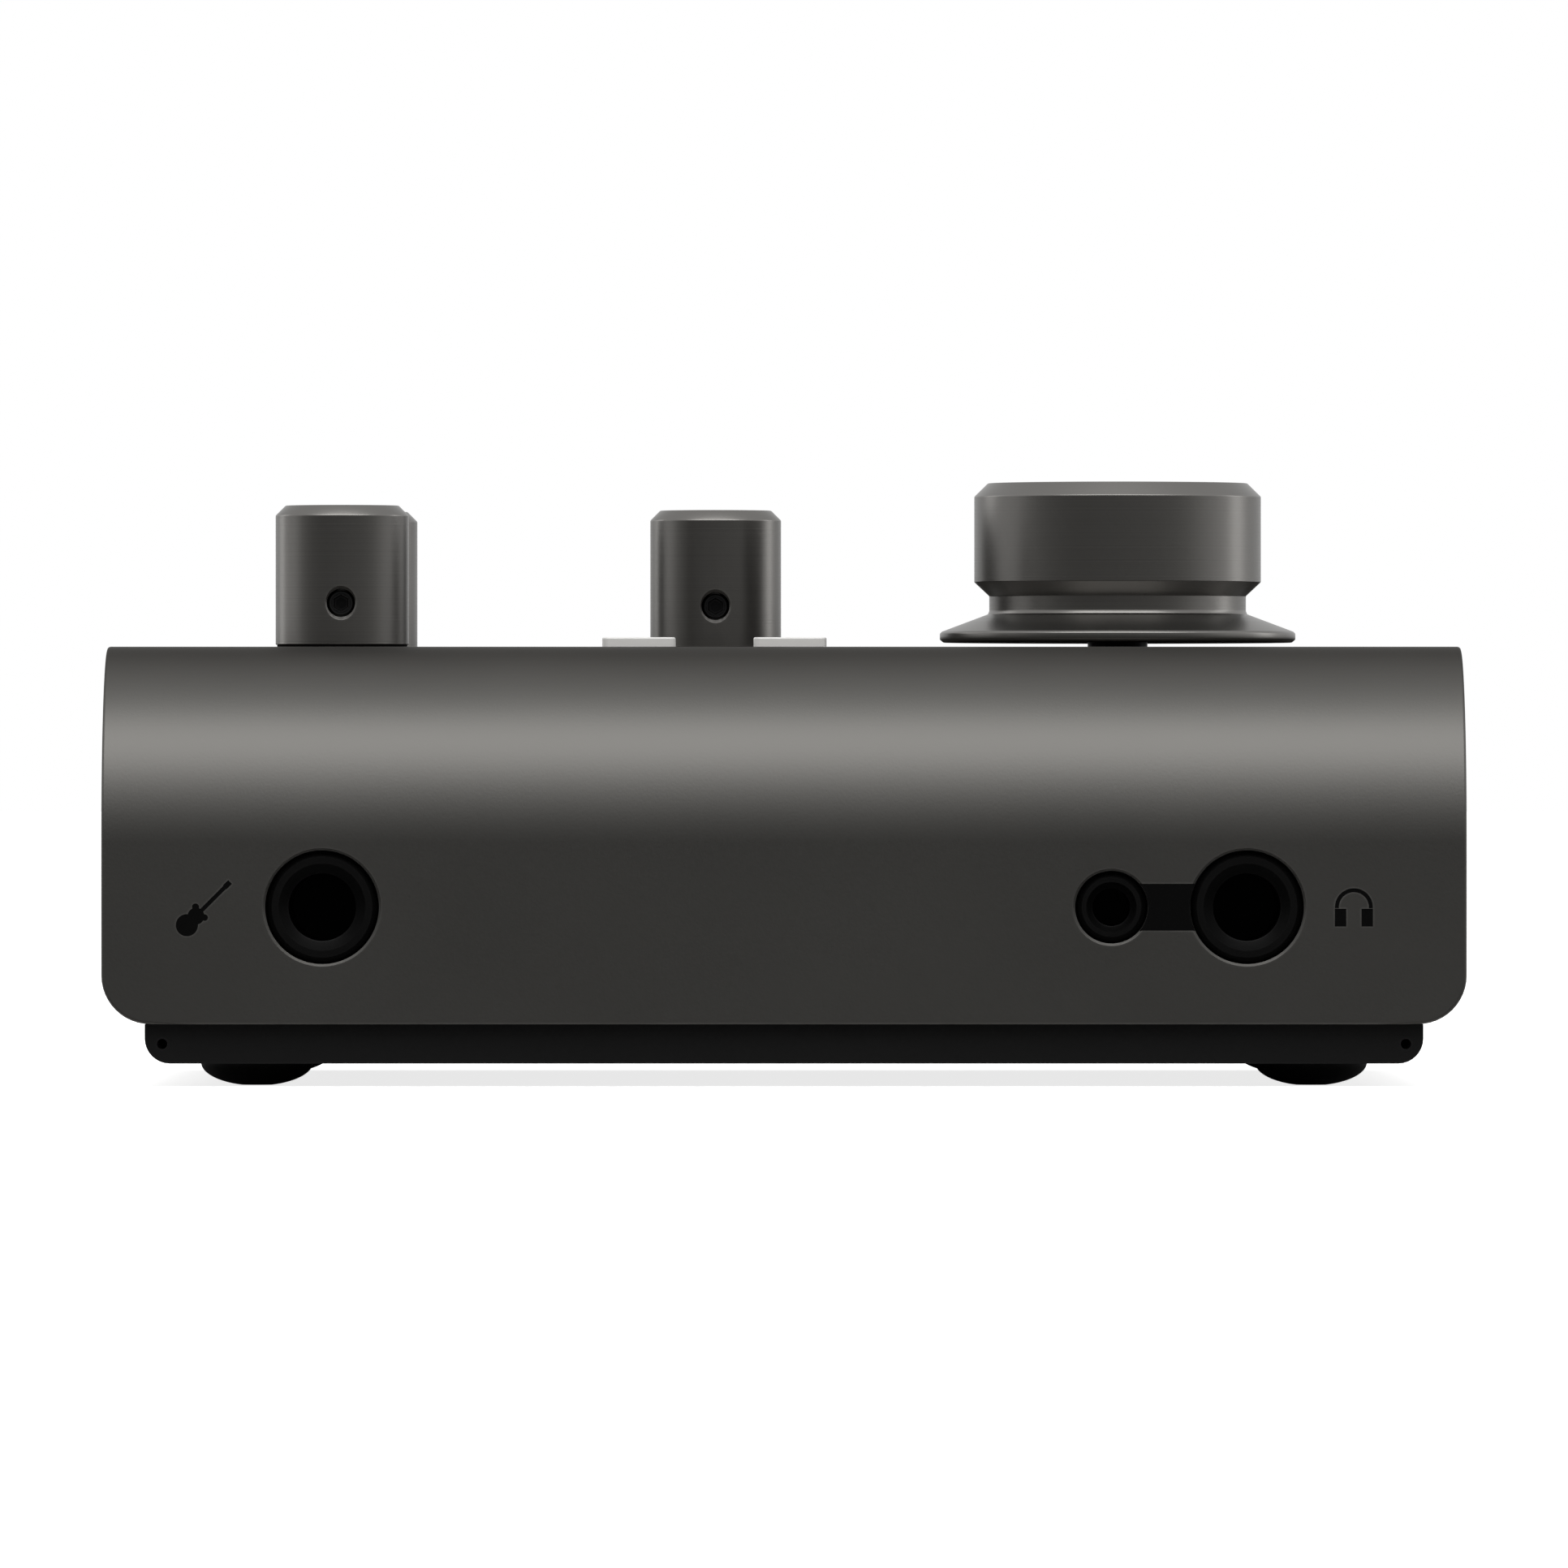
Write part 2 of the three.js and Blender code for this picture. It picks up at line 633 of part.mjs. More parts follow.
function boards() {
  const group = new THREE.Group();
  group.add(mainBoard(), controlBoard());
  for (const [name, [x, y]] of Object.entries(mainScrewPlaces)) {
    const screw = panScrew(`main_board_screw_${name}`, boardScrewLength, plainSteel);
    screw.rotation.x = Math.PI;
    group.add(placed(screw, x, y, onMain));
  }
  for (const [name, [x, y]] of Object.entries(controlScrewPlaces)) {
    const screw = panScrew(`control_board_screw_${name}`, boardScrewLength, plainSteel);
    group.add(placed(screw, x, y, controlBoardBottom - seatGap));
  }
  const linkHeight = controlBoardBottom - seatGap - onMain;
  const link = piece('board_link', slab([...linkSize, linkHeight]), blackPlastic);
  const processor = piece('processor', slab(processorSize), chipResin);
  const converter = piece('converter', slab(converterSize), chipResin);
  const inductor = piece('supply_inductor', slab(inductorSize), chipResin);
  const capacitor = piece('supply_capacitor', bar(capacitorRadius, 0, capacitorHeight, 0, 0, coarse),
    satinAluminium);
  group.add(
    placed(link, ...linkPlace, onMain),
    placed(processor, ...processorPlace, onMain),
    placed(converter, ...converterPlace, onMain),
    placed(inductor, ...inductorPlace, onMain),
    placed(capacitor, ...capacitorPlace, onMain),
  );
  return group;
}

// ---- Knobs and what carries them ----

// Radial hole for a set screw, towards -Y
function setScrewHole(height, reach) {
  return barAlongY(setScrewHoleRadius, -reach, 0, 0, height, coarse);
}

function setScrew(name, length, [x, y], height, side) {
  const tip = shaftRadius + seatGap / 2;
  const screw = barAlongY(setScrewRadius, tip, tip + length, 0, 0, coarse);
  const mesh = piece(name, screw, blackScrew);
  if (side < 0) mesh.rotation.z = Math.PI;
  return placed(mesh, x, y, height);
}

function smallKnob(name) {
  const body = turned([
    [0, 0], [knobRadius, 0], [knobRadius, knobHeight - knobChamfer],
    [knobRadius - knobChamfer, knobHeight], [0, knobHeight],
  ], fine);
  const bore = bar(boreRadius, -past, knobBoreDepth);
  const hole = setScrewHole(setScrewHeight, knobRadius + past);
  return piece(name, without(body, [bore, hole]), turnedAluminium);
}

// Sealed potentiometer with its threaded bush
function potBody(name) {
  const bushTop = topPlane - bushDrop - onControl;
  const body = slab([potSize, potSize, potHeight]).add(bar(bushRadius, potHeight / 2, bushTop));
  return piece(name, body.subtract(bar(boreRadius, pocketFloor, bushTop + past)), blackPlastic);
}

function potControl(name, [x, y]) {
  const group = new THREE.Group();
  const knobBottom = topPlane + knobLift;
  const shaftLow = onControl + pocketFloor + seatGap;
  const shaftHigh = knobBottom + knobBoreDepth - seatGap;
  const shaft = piece(`${name}_shaft`, bar(shaftRadius, shaftLow, shaftHigh), plainSteel);
  group.add(
    placed(smallKnob(`${name}_knob`), x, y, knobBottom),
    placed(potBody(`${name}_potentiometer`), x, y, onControl),
    placed(shaft, x, y, 0),
    setScrew(`${name}_set_screw`, setScrewLength, [x, y], knobBottom + setScrewHeight, -1),
  );
  return group;
}

// Flanged knob: rim, cone, neck and body, hollowed below
function volumeKnob() {
  const body = turned([
    [0, 0], [flangeRadius, 0], [flangeRadius, rimHeight], [neckRadius, coneTop], [neckRadius, neckTop],
    [bodyRadius, bodyStart], [bodyRadius, bodyTop], [volumeTopRadius, volumeHeight], [0, volumeHeight],
  ], fine);
  const recess = bar(volumeRecessRadius, -past, volumeRecessDepth, 0, 0, fine);
  const bore = bar(boreRadius, -past, volumeBoreDepth);
  const hole = setScrewHole(volumeSetScrewHeight, bodyRadius + past).rotate([0, 0, 180]);
  return piece('volume_knob', without(body, [recess, bore, hole]), turnedAluminium);
}

// Push encoder: the rotor turns in the body's pocket, and the shaft slides through the rotor
function encoder() {
  const group = new THREE.Group();
  const rotorLow = pocketFloor + seatGap;
  const body = slab([encoderSize, encoderSize, encoderHeight])
    .subtract(bar(rotorRadius + slideGap, pocketFloor, encoderHeight + past));
  const rotor = bar(rotorRadius, rotorLow, rotorLow + rotorHeight)
    .subtract(bar(boreRadius, 0, encoderHeight));
  const plateLow = encoderHeight + seatGap;
  const bushTop = topPlane - bushDrop - onControl;
  const bracket = slab([encoderSize, encoderSize, encoderPlate], 0, 0, plateLow)
    .add(bar(bushRadius, plateLow + encoderPlate / 2, bushTop))
    .subtract(bar(boreRadius, 0, bushTop + past));
  const knobBottom = topPlane + volumeLift - onControl;
  const shaft = bar(shaftRadius, pocketFloor + pushTravel + pushReserve,
    knobBottom + volumeBoreDepth - seatGap);
  group.add(
    piece('encoder_body', body, blackPlastic),
    piece('encoder_rotor', rotor, plainSteel),
    piece('encoder_bracket', bracket, plainSteel),
    piece('encoder_shaft', shaft, plainSteel),
  );
  return placed(group, volumeX, volumeY, onControl);
}

function knobs() {
  const group = new THREE.Group();
  for (const [name, place] of Object.entries(knobPlaces)) group.add(potControl(name, place));
  const volumeBottom = topPlane + volumeLift;
  group.add(
    placed(volumeKnob(), volumeX, volumeY, volumeBottom),
    setScrew('volume_set_screw', volumeSetScrewLength, [volumeX, volumeY],
      volumeBottom + volumeSetScrewHeight, 1),
    encoder(),
  );
  return group;
}

// ---- Push buttons and level windows ----

// Square cap with a retaining flange under the shell and a stem over the switch's plunger
function buttonCap(name) {
  const stemLow = onControl + switchHeight + plungerRise + seatGap / 2;
  const flangeTop = ceiling - capFlangeGap;
  const flangeSize = capSize + 2 * capFlange;
  const face = roundedRectangle(capSize, capSize, capCorner);
  return piece(name, joined([
    alongZ(face, flangeTop - capFlangeThickness / 2, topPlane + capRise, 3),
    slab([flangeSize, flangeSize, capFlangeThickness], 0, 0, flangeTop - capFlangeThickness),
    bar(capStemRadius, stemLow, flangeTop - capFlangeThickness / 2, 0, 0, coarse),
  ]), satinAluminium);
}

function pushButton(name, x) {
  const group = new THREE.Group();
  const pocket = switchHeight - plungerDepth - buttonTravel - pushReserve;
  const body = slab([switchSize, switchSize, switchHeight])
    .subtract(bar(plungerRadius + slideGap, pocket, switchHeight + past, 0, 0, coarse));
  const plunger = bar(plungerRadius, switchHeight - plungerDepth, switchHeight + plungerRise, 0, 0, coarse);
  group.add(
    placed(buttonCap(`${name}_button_cap`), x, buttonY, 0),
    placed(piece(`${name}_switch_body`, body, blackPlastic), x, buttonY, onControl),
    placed(piece(`${name}_switch_plunger`, plunger, plainSteel), x, buttonY, onControl),
  );
  return group;
}

// Two columns of level windows, from the front to the rear
function windowPlaces() {
  const places = [];
  for (const column of [-1, 1]) {
    for (let row = 0; row < meterRows; row += 1) {
      places.push([
        meterX + (column * meterColumnPitch) / 2,
        (row - (meterRows - 1) / 2) * meterPitch,
      ]);
    }
  }
  return places;
}

// Clear block over the board's lamps, with a post up to each window
function lightGuide() {
  const depth = (meterRows - 1) * meterPitch + 2 * guideMargin;
  const guideTop = ceiling - seatGap;
  const base = slab([guideWidth, depth, guideTop - onControl], meterX, 0, onControl);
  const posts = windowPlaces().map(([x, y]) => (
    bar(windowRadius, guideTop - past, topPlane - touchGap, x, y, coarse)
  ));
  return piece('meter_light_guide', joined([base, ...posts]), frostedPlastic);
}

// ---- Sockets ----

// Board-mounted jack with its mouth towards -Y; the nose's face lies at y = 0
function jack(name, [width, depth, height], noseRadius, holeRadius, noseLength) {
  const body = block([-width / 2, noseLength, -height / 2], [width / 2, noseLength + depth, height / 2]);
  const nose = barAlongY(noseRadius, 0, noseLength + past, 0, 0);
  const hole = barAlongY(holeRadius, -past, noseLength + depth - boreFloor, 0, 0);
  return piece(name, body.add(nose).subtract(hole), blackPlastic);
}

// Microphone socket with its mouth towards +Y: a ring groove round an insert, which has a central jack
// bore between three contact holes
function micSocket() {
  const [width, depth, height] = micBodySize;
  const bodyRear = panelInnerY - seatGap;
  const face = panelOuterY + micCollarReach;
  const body = block([-width / 2, bodyRear - depth, -height / 2], [width / 2, bodyRear, height / 2]);
  const collar = barAlongY(micCollarRadius, bodyRear - past, face, 0, 0, fine);
  const [insertRadius, grooveRadius] = micGrooveRadii;
  const insertFace = face - micFaceRecess;
  const groove = barAlongY(grooveRadius, face - micGrooveDepth, face + past, 0, 0, fine)
    .subtract(barAlongY(insertRadius, face - micGrooveDepth - past, insertFace, 0, 0, fine));
  const bore = barAlongY(bigBoreRadius, bodyRear - depth + boreFloor, face, 0, 0);
  const contacts = [0, 1, 2].map((index) => {
    const angle = (Math.PI / 2) * (index + 2);
    return barAlongY(micPinRadius, insertFace - micPinDepth, face, micPinCircle * Math.cos(angle),
      micPinCircle * Math.sin(angle), coarse);
  });
  const socket = piece('mic_input_socket', without(body.add(collar), [groove, bore, ...contacts]),
    blackPlastic);
  return placed(socket, micX, 0, micHeight);
}

// Rounded metal shell with a tongue, its mouth towards +Y
function usbSocket() {
  const [width, depth, height] = usbSize;
  const mouth = panelOuterY + usbReach;
  const shell = alongY(roundedRectangle(width, height, usbCorner), mouth - depth, mouth, 5);
  const hollow = alongY(roundedRectangle(width - 2 * usbWall, height - 2 * usbWall, usbCorner - usbWall),
    mouth - depth + boreFloor, mouth + past, 5);
  const tongue = block([-usbTongue[0] / 2, mouth - depth + boreFloor / 2, -usbTongue[1] / 2],
    [usbTongue[0] / 2, mouth - usbTongueRecess, usbTongue[1] / 2]);
  return placed(piece('usb_socket', shell.subtract(hollow).add(tongue), plainSteel), usbX, 0, usbHeight);
}

function sockets() {
  const group = new THREE.Group();
  const frontNose = shellWall + seatGap - noseRecess;
  const rearNose = noseRecess + panelThickness + seatGap;
  const frontY = -endY + noseRecess;
  group.add(
    placed(jack('instrument_jack', bigBodySize, bigNoseRadius, bigBoreRadius, frontNose),
      instrumentX, frontY, jackHeight),
    placed(jack('headphone_jack_large', bigBodySize, bigNoseRadius, bigBoreRadius, frontNose),
      headphoneX, frontY, jackHeight),
    placed(jack('headphone_jack_small', smallBodySize, smallNoseRadius, smallBoreRadius, frontNose),
      headphoneX - headphonePitch, frontY, jackHeight),
  );
  lineOutX.forEach((x, index) => {
    const lineOut = jack(`line_out_jack_${index + 1}`, bigBodySize, bigNoseRadius, bigBoreRadius, rearNose);
    lineOut.rotation.z = Math.PI;
    group.add(placed(lineOut, x, panelOuterY + noseRecess, jackHeight));
  });
  group.add(micSocket(), usbSocket());
  return group;
}

// ---- Whole interface ----

const audioInterface = new THREE.Group();
audioInterface.add(enclosure(), boards(), knobs(), sockets(), lightGuide());
audioInterface.add(pushButton('left', buttonX[0]), pushButton('right', buttonX[1]));

export default audioInterface;
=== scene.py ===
import math

import bmesh
import bpy
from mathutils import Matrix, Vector


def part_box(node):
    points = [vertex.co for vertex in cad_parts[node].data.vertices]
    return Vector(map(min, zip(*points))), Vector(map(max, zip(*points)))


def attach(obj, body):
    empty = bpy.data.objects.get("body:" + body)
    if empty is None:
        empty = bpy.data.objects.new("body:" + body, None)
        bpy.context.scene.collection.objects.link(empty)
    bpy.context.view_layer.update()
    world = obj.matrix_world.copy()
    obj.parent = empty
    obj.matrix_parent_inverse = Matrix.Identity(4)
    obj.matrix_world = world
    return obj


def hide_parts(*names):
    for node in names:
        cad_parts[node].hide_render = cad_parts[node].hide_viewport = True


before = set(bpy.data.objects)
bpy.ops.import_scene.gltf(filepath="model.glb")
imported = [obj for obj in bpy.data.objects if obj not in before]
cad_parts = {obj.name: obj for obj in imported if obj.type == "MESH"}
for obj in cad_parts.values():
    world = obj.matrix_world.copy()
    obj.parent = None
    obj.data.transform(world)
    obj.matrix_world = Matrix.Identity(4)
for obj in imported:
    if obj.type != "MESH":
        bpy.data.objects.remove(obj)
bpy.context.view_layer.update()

# ---- Camera ----
# Stands two metres in front of the shell, level with the middle of the object and square to it, so
# the top is seen edge-on and the rear knobs look slightly smaller.

CAMERA_REACH = 2.0
CAMERA_HEIGHT = 0.0295
VIEW_WIDTH = 0.1527

shell_low, shell_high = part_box("top_shell")
camera_data = bpy.data.cameras.new("camera")
camera_data.angle = 2 * math.atan(VIEW_WIDTH / 2 / CAMERA_REACH)
camera_data.clip_end = 60
camera = bpy.data.objects.new("camera", camera_data)
camera.location = (0, shell_low.y - CAMERA_REACH, CAMERA_HEIGHT)
camera.rotation_euler = (math.pi / 2, 0, 0)
bpy.context.collection.objects.link(camera)
bpy.context.scene.camera = camera
bpy.context.scene.view_settings.view_transform = "Standard"

# ---- Floor and background ----
# A pale studio floor that runs out to a white surround. The camera, gloss and glass see the surround
# at full white, and everything else is lit by it as a soft grey room.

FLOOR_COLOUR = (0.86, 0.86, 0.855, 1)
FLOOR_LIFT = 0.8
ROOM_STRENGTH = 0.45


def blank_material(name):
    material = bpy.data.materials.new(name)
    material.use_nodes = True
    material.node_tree.nodes.clear()
    return material, material.node_tree.nodes, material.node_tree.links


def added(nodes, kind, values=None, **settings):
    """A new shader node with its settings, and then the values of inputs by name or number."""
    node = nodes.new("ShaderNode" + kind)
    for key, value in settings.items():
        setattr(node, key, value)
    for key, value in (values or {}).items():
        node.inputs[key].default_value = value
    return node


def wired(links, *pairs):
    for source, target in pairs:
        links.new(source, target)


def floor_material():
    material, nodes, links = blank_material("studio_floor")
    output = added(nodes, "OutputMaterial")
    surface = added(nodes, "BsdfDiffuse", {"Color": FLOOR_COLOUR})
    glow = added(nodes, "Emission")
    path = added(nodes, "LightPath")
    seen = added(nodes, "Math", {1: FLOOR_LIFT}, operation="MULTIPLY")
    both = added(nodes, "AddShader")
    wired(links, (path.outputs["Is Camera Ray"], seen.inputs[0]),
          (seen.outputs[0], glow.inputs["Strength"]),
          (surface.outputs[0], both.inputs[0]),
          (glow.outputs[0], both.inputs[1]),
          (both.outputs[0], output.inputs["Surface"]))
    return material


bpy.ops.object.select_all(action="DESELECT")
bpy.ops.mesh.primitive_plane_add(size=40)
floor = bpy.context.object
floor.name = "floor"
floor.data.materials.append(floor_material())

world = bpy.data.worlds.new("studio")
world.use_nodes = True
bpy.context.scene.world = world
world_nodes, world_links = world.node_tree.nodes, world.node_tree.links
room = world_nodes["Background"]
room.inputs["Color"].default_value = (1, 1, 1, 1)
path = added(world_nodes, "LightPath")
seen = path.outputs["Is Camera Ray"]
for ray in ("Is Glossy Ray", "Is Transmission Ray"):
    either = added(world_nodes, "Math", operation="MAXIMUM")
    wired(world_links, (seen, either.inputs[0]), (path.outputs[ray], either.inputs[1]))
    seen = either.outputs[0]
strength = added(world_nodes, "MapRange", {"To Min": ROOM_STRENGTH, "To Max": 1})
wired(world_links, (seen, strength.inputs["Value"]), (strength.outputs[0], room.inputs["Strength"]))

# ---- Lamps and cards ----
# One large softbox high in front draws the bright band along the bullnose, and a strip at each side
# lights the knobs' edges. A grey card curves round the front and another lies before the object: only
# gloss sees them.

SOFTBOX_PLACE = (0, -0.80, 1.36)
SOFTBOX_SIZE = (2.0, 0.96)
SOFTBOX_RADIANCE = 3.1
STRIP_SIZE = (0.5, 1.2)
LEFT_STRIP_PLACE = (-1.47, 1.03, 0.45)
LEFT_STRIP_RADIANCE = 1.6
RIGHT_STRIP_PLACE = (1.66, 0.62, 0.45)
RIGHT_STRIP_RADIANCE = 2.1
CARD_REACH = 2.6
CARD_TOP = 1.05
CARD_SHADES = ((-78, 0.55), (-58, 0.26), (-35, 0.15), (0, 0.19), (30, 0.26), (52, 0.38), (72, 0.75))
CARD_LEFT, CARD_RIGHT = CARD_SHADES[0][0], CARD_SHADES[-1][0]
CARD_WARMTH = 0.98
FLOOR_CARD_LIFT = 0.0003
FLOOR_CARD_GAP = 0.003
FLOOR_CARD_RADIANCE = 0.17


def softbox(name, place, target, size, radiance):
    data = bpy.data.lights.new(name, "AREA")
    data.shape = "RECTANGLE"
    data.size, data.size_y = size
    data.energy = math.pi * size[0] * size[1] * radiance
    lamp = bpy.data.objects.new(name, data)
    lamp.location = place
    lamp.rotation_euler = (Vector(target) - Vector(place)).to_track_quat("-Z", "Y").to_euler()
    lamp.visible_camera = False
    bpy.context.collection.objects.link(lamp)


def shown_to_gloss(card, colour):
    """Gives a card a plain glow that only glossy rays see. colour fills in the glow from the nodes."""
    material, nodes, links = blank_material(card.name)
    output = added(nodes, "OutputMaterial")
    glow = added(nodes, "Emission")
    colour(nodes, links, glow)
    links.new(glow.outputs[0], output.inputs["Surface"])
    card.data.materials.append(material)
    card.visible_camera = card.visible_diffuse = card.visible_shadow = card.visible_transmission = False


def card_shades(nodes, links, glow):
    """Greys that change with the angle round the object, from the left end of the card to the right."""
    place = added(nodes, "TexCoord")
    apart = added(nodes, "SeparateXYZ")
    forward = added(nodes, "Math", {1: -1}, operation="MULTIPLY")
    azimuth = added(nodes, "Math", operation="ARCTAN2")
    share = added(nodes, "MapRange", {"From Min": math.radians(CARD_LEFT),
                                      "From Max": math.radians(CARD_RIGHT)})
    ramp = added(nodes, "ValToRGB")
    for degrees, _ in CARD_SHADES[1:-1]:
        ramp.color_ramp.elements.new((degrees - CARD_LEFT) / (CARD_RIGHT - CARD_LEFT))
    for element, (_, shade) in zip(ramp.color_ramp.elements, CARD_SHADES):
        element.color = (shade, shade, shade * CARD_WARMTH, 1)
    wired(links, (place.outputs["Object"], apart.inputs[0]),
          (apart.outputs["Y"], forward.inputs[0]),
          (apart.outputs["X"], azimuth.inputs[0]),
          (forward.outputs[0], azimuth.inputs[1]),
          (azimuth.outputs[0], share.inputs["Value"]),
          (share.outputs[0], ramp.inputs["Fac"]),
          (ramp.outputs["Color"], glow.inputs["Color"]))


softbox("top_softbox", SOFTBOX_PLACE, (0, -0.05, 0.03), SOFTBOX_SIZE, SOFTBOX_RADIANCE)
softbox("left_strip", LEFT_STRIP_PLACE, (0, 0, 0.05), STRIP_SIZE, LEFT_STRIP_RADIANCE)
softbox("right_strip", RIGHT_STRIP_PLACE, (0, 0, 0.05), STRIP_SIZE, RIGHT_STRIP_RADIANCE)

bpy.ops.object.select_all(action="DESELECT")
bpy.ops.mesh.primitive_cylinder_add(vertices=120, radius=CARD_REACH, depth=2 * CARD_TOP,
                                    end_fill_type="NOTHING")
front_card = bpy.context.object
front_card.name = "front_card"
bpy.ops.object.mode_set(mode="EDIT")
bpy.ops.mesh.select_mode(type="FACE")
bpy.ops.mesh.select_all(action="DESELECT")
wall = bmesh.from_edit_mesh(front_card.data)
for face in wall.faces:
    azimuth = math.degrees(math.atan2(face.calc_center_median().x, -face.calc_center_median().y))
    face.select_set(not CARD_LEFT < azimuth < CARD_RIGHT)
bmesh.update_edit_mesh(front_card.data)
bpy.ops.mesh.delete(type="FACE")
bpy.ops.object.mode_set(mode="OBJECT")
shown_to_gloss(front_card, card_shades)

bpy.ops.object.select_all(action="DESELECT")
floor_card_y = shell_low.y - FLOOR_CARD_GAP - CARD_REACH / 2
bpy.ops.mesh.primitive_plane_add(size=CARD_REACH, location=(0, floor_card_y, FLOOR_CARD_LIFT))
floor_card = bpy.context.object
floor_card.name = "floor_card"


def card_grey(nodes, links, glow):
    glow.inputs["Color"].default_value = (1, 1, CARD_WARMTH, 1)
    glow.inputs["Strength"].default_value = FLOOR_CARD_RADIANCE


shown_to_gloss(floor_card, card_grey)

# ---- Top shell ----
# One aluminium casting, bead-blasted and anodised dark grey: upright front, bullnose, flat top and
# sides that curl in below. Its holes are countersunk by a few tenths after blasting.

mm = 0.001
SHELL_COLOUR = (0.0995, 0.0970, 0.0920, 1)
SHELL_EDGE_COLOUR = (0.22, 0.215, 0.205, 1)
SHELL_WALL = 2.5 * mm
SHELL_FOOT = 6.1 * mm
BULLNOSE = 19.2 * mm
LOWER_CURL = 4.75 * mm
LAND_EDGE = 59.5 * mm
LAND_HEIGHT = 2.5 * mm
SHARP_EDGE = 0.3 * mm
SHARP_ANGLE = 1.2
HOLE_EASE = 0.22 * mm
HOLE_DEPTH = 3.5 * mm
CUTTER_PAST = 0.5 * mm
HAIR = 0.01 * mm


def new_group(name, inputs, outputs):
    """An empty node group with named sockets: inputs are (name, socket kind, default)."""
    group = bpy.data.node_groups.new(name, "ShaderNodeTree")
    for label, kind, default in inputs:
        socket = group.interface.new_socket(name=label, in_out="INPUT", socket_type=kind)
        socket.default_value = default
    for label, kind in outputs:
        group.interface.new_socket(name=label, in_out="OUTPUT", socket_type=kind)
    return group, group.nodes.new("NodeGroupInput"), group.nodes.new("NodeGroupOutput")


def grain_group():
    """Fine and cloudy unevenness of a surface, at two grain sizes in metres."""
    group, given, result = new_group("grain", [
        ("Grain Size", "NodeSocketFloat", 0.0003),
        ("Cloud Size", "NodeSocketFloat", 0.03),
    ], [("Grain", "NodeSocketFloat"), ("Cloud", "NodeSocketFloat")])
    nodes, links = group.nodes, group.links
    place = added(nodes, "TexCoord")
    for label, detail in (("Grain", 2), ("Cloud", 4)):
        scale = added(nodes, "Math", {0: 1}, operation="DIVIDE")
        noise = added(nodes, "TexNoise", {"Detail": detail})
        wired(links, (given.outputs[label + " Size"], scale.inputs[1]),
              (place.outputs["Object"], noise.inputs["Vector"]),
              (scale.outputs[0], noise.inputs["Scale"]),
              (noise.outputs["Fac"], result.inputs[label]))
    return group


def edge_group():
    """Mask of worn convex edges, from the difference between the rounded and the true normal."""
    group, given, result = new_group("edge_wear", [
        ("Reach", "NodeSocketFloat", 0.0004),
        ("Amount", "NodeSocketFloat", 1.0),
    ], [("Edge", "NodeSocketFloat")])
    nodes, links = group.nodes, group.links
    rounded = added(nodes, "Bevel", samples=6)
    geometry = added(nodes, "NewGeometry")
    dot = added(nodes, "VectorMath", operation="DOT_PRODUCT")
    spread = added(nodes, "MapRange", {"From Min": 0.985, "From Max": 0.85})
    scuff = added(nodes, "TexNoise", {"Scale": 260, "Detail": 3})
    place = added(nodes, "TexCoord")
    broken = added(nodes, "Math", operation="MULTIPLY")
    amount = added(nodes, "Math", operation="MULTIPLY", use_clamp=True)
    wired(links, (given.outputs["Reach"], rounded.inputs["Radius"]),
          (rounded.outputs["Normal"], dot.inputs[0]),
          (geometry.outputs["Normal"], dot.inputs[1]),
          (dot.outputs["Value"], spread.inputs["Value"]),
          (place.outputs["Object"], scuff.inputs["Vector"]),
          (spread.outputs[0], broken.inputs[0]),
          (scuff.outputs["Fac"], broken.inputs[1]),
          (broken.outputs[0], amount.inputs[0]),
          (given.outputs["Amount"], amount.inputs[1]),
          (amount.outputs[0], result.inputs["Edge"]))
    return group


GRAIN = grain_group()
EDGE_WEAR = edge_group()


def labelled(values):
    """Input values by label, from keyword names with underscores for spaces."""
    return {name.replace("_", " "): value for name, value in values.items()}


def placed_group(nodes, group, **values):
    return added(nodes, "Group", labelled(values), node_tree=group)


def mixed(nodes, links, mask, first, second):
    """A colour mix of two colours or sockets by a mask socket or a plain share."""
    mix = added(nodes, "Mix", data_type="RGBA", blend_type="MIX", clamp_factor=True)
    for socket, value in ((mix.inputs[0], mask), (mix.inputs[6], first), (mix.inputs[7], second)):
        if isinstance(value, bpy.types.NodeSocket):
            links.new(value, socket)
        else:
            socket.default_value = value
    return mix.outputs[2]


def spread_value(nodes, links, value, low, high):
    """Maps a 0 to 1 socket to a range."""
    spread = added(nodes, "MapRange", {"To Min": low, "To Max": high})
    links.new(value, spread.inputs["Value"])
    return spread.outputs[0]


def bumped(nodes, links, height, strength, distance):
    bump = added(nodes, "Bump", {"Strength": strength, "Distance": distance})
    links.new(height, bump.inputs["Height"])
    return bump.outputs["Normal"]


def principled(name, **values):
    """A material with one shader and the values of its inputs, ready for what is wired into it."""
    material, nodes, links = blank_material(name)
    output = added(nodes, "OutputMaterial")
    shader = added(nodes, "BsdfPrincipled", labelled(values))
    links.new(shader.outputs[0], output.inputs["Surface"])
    return material, nodes, links, shader


def shaded(colour, low, high):
    """A colour made darker and lighter by two shares."""
    return [tuple(share * part for part in colour[:3]) + (1,) for share in (low, high)]


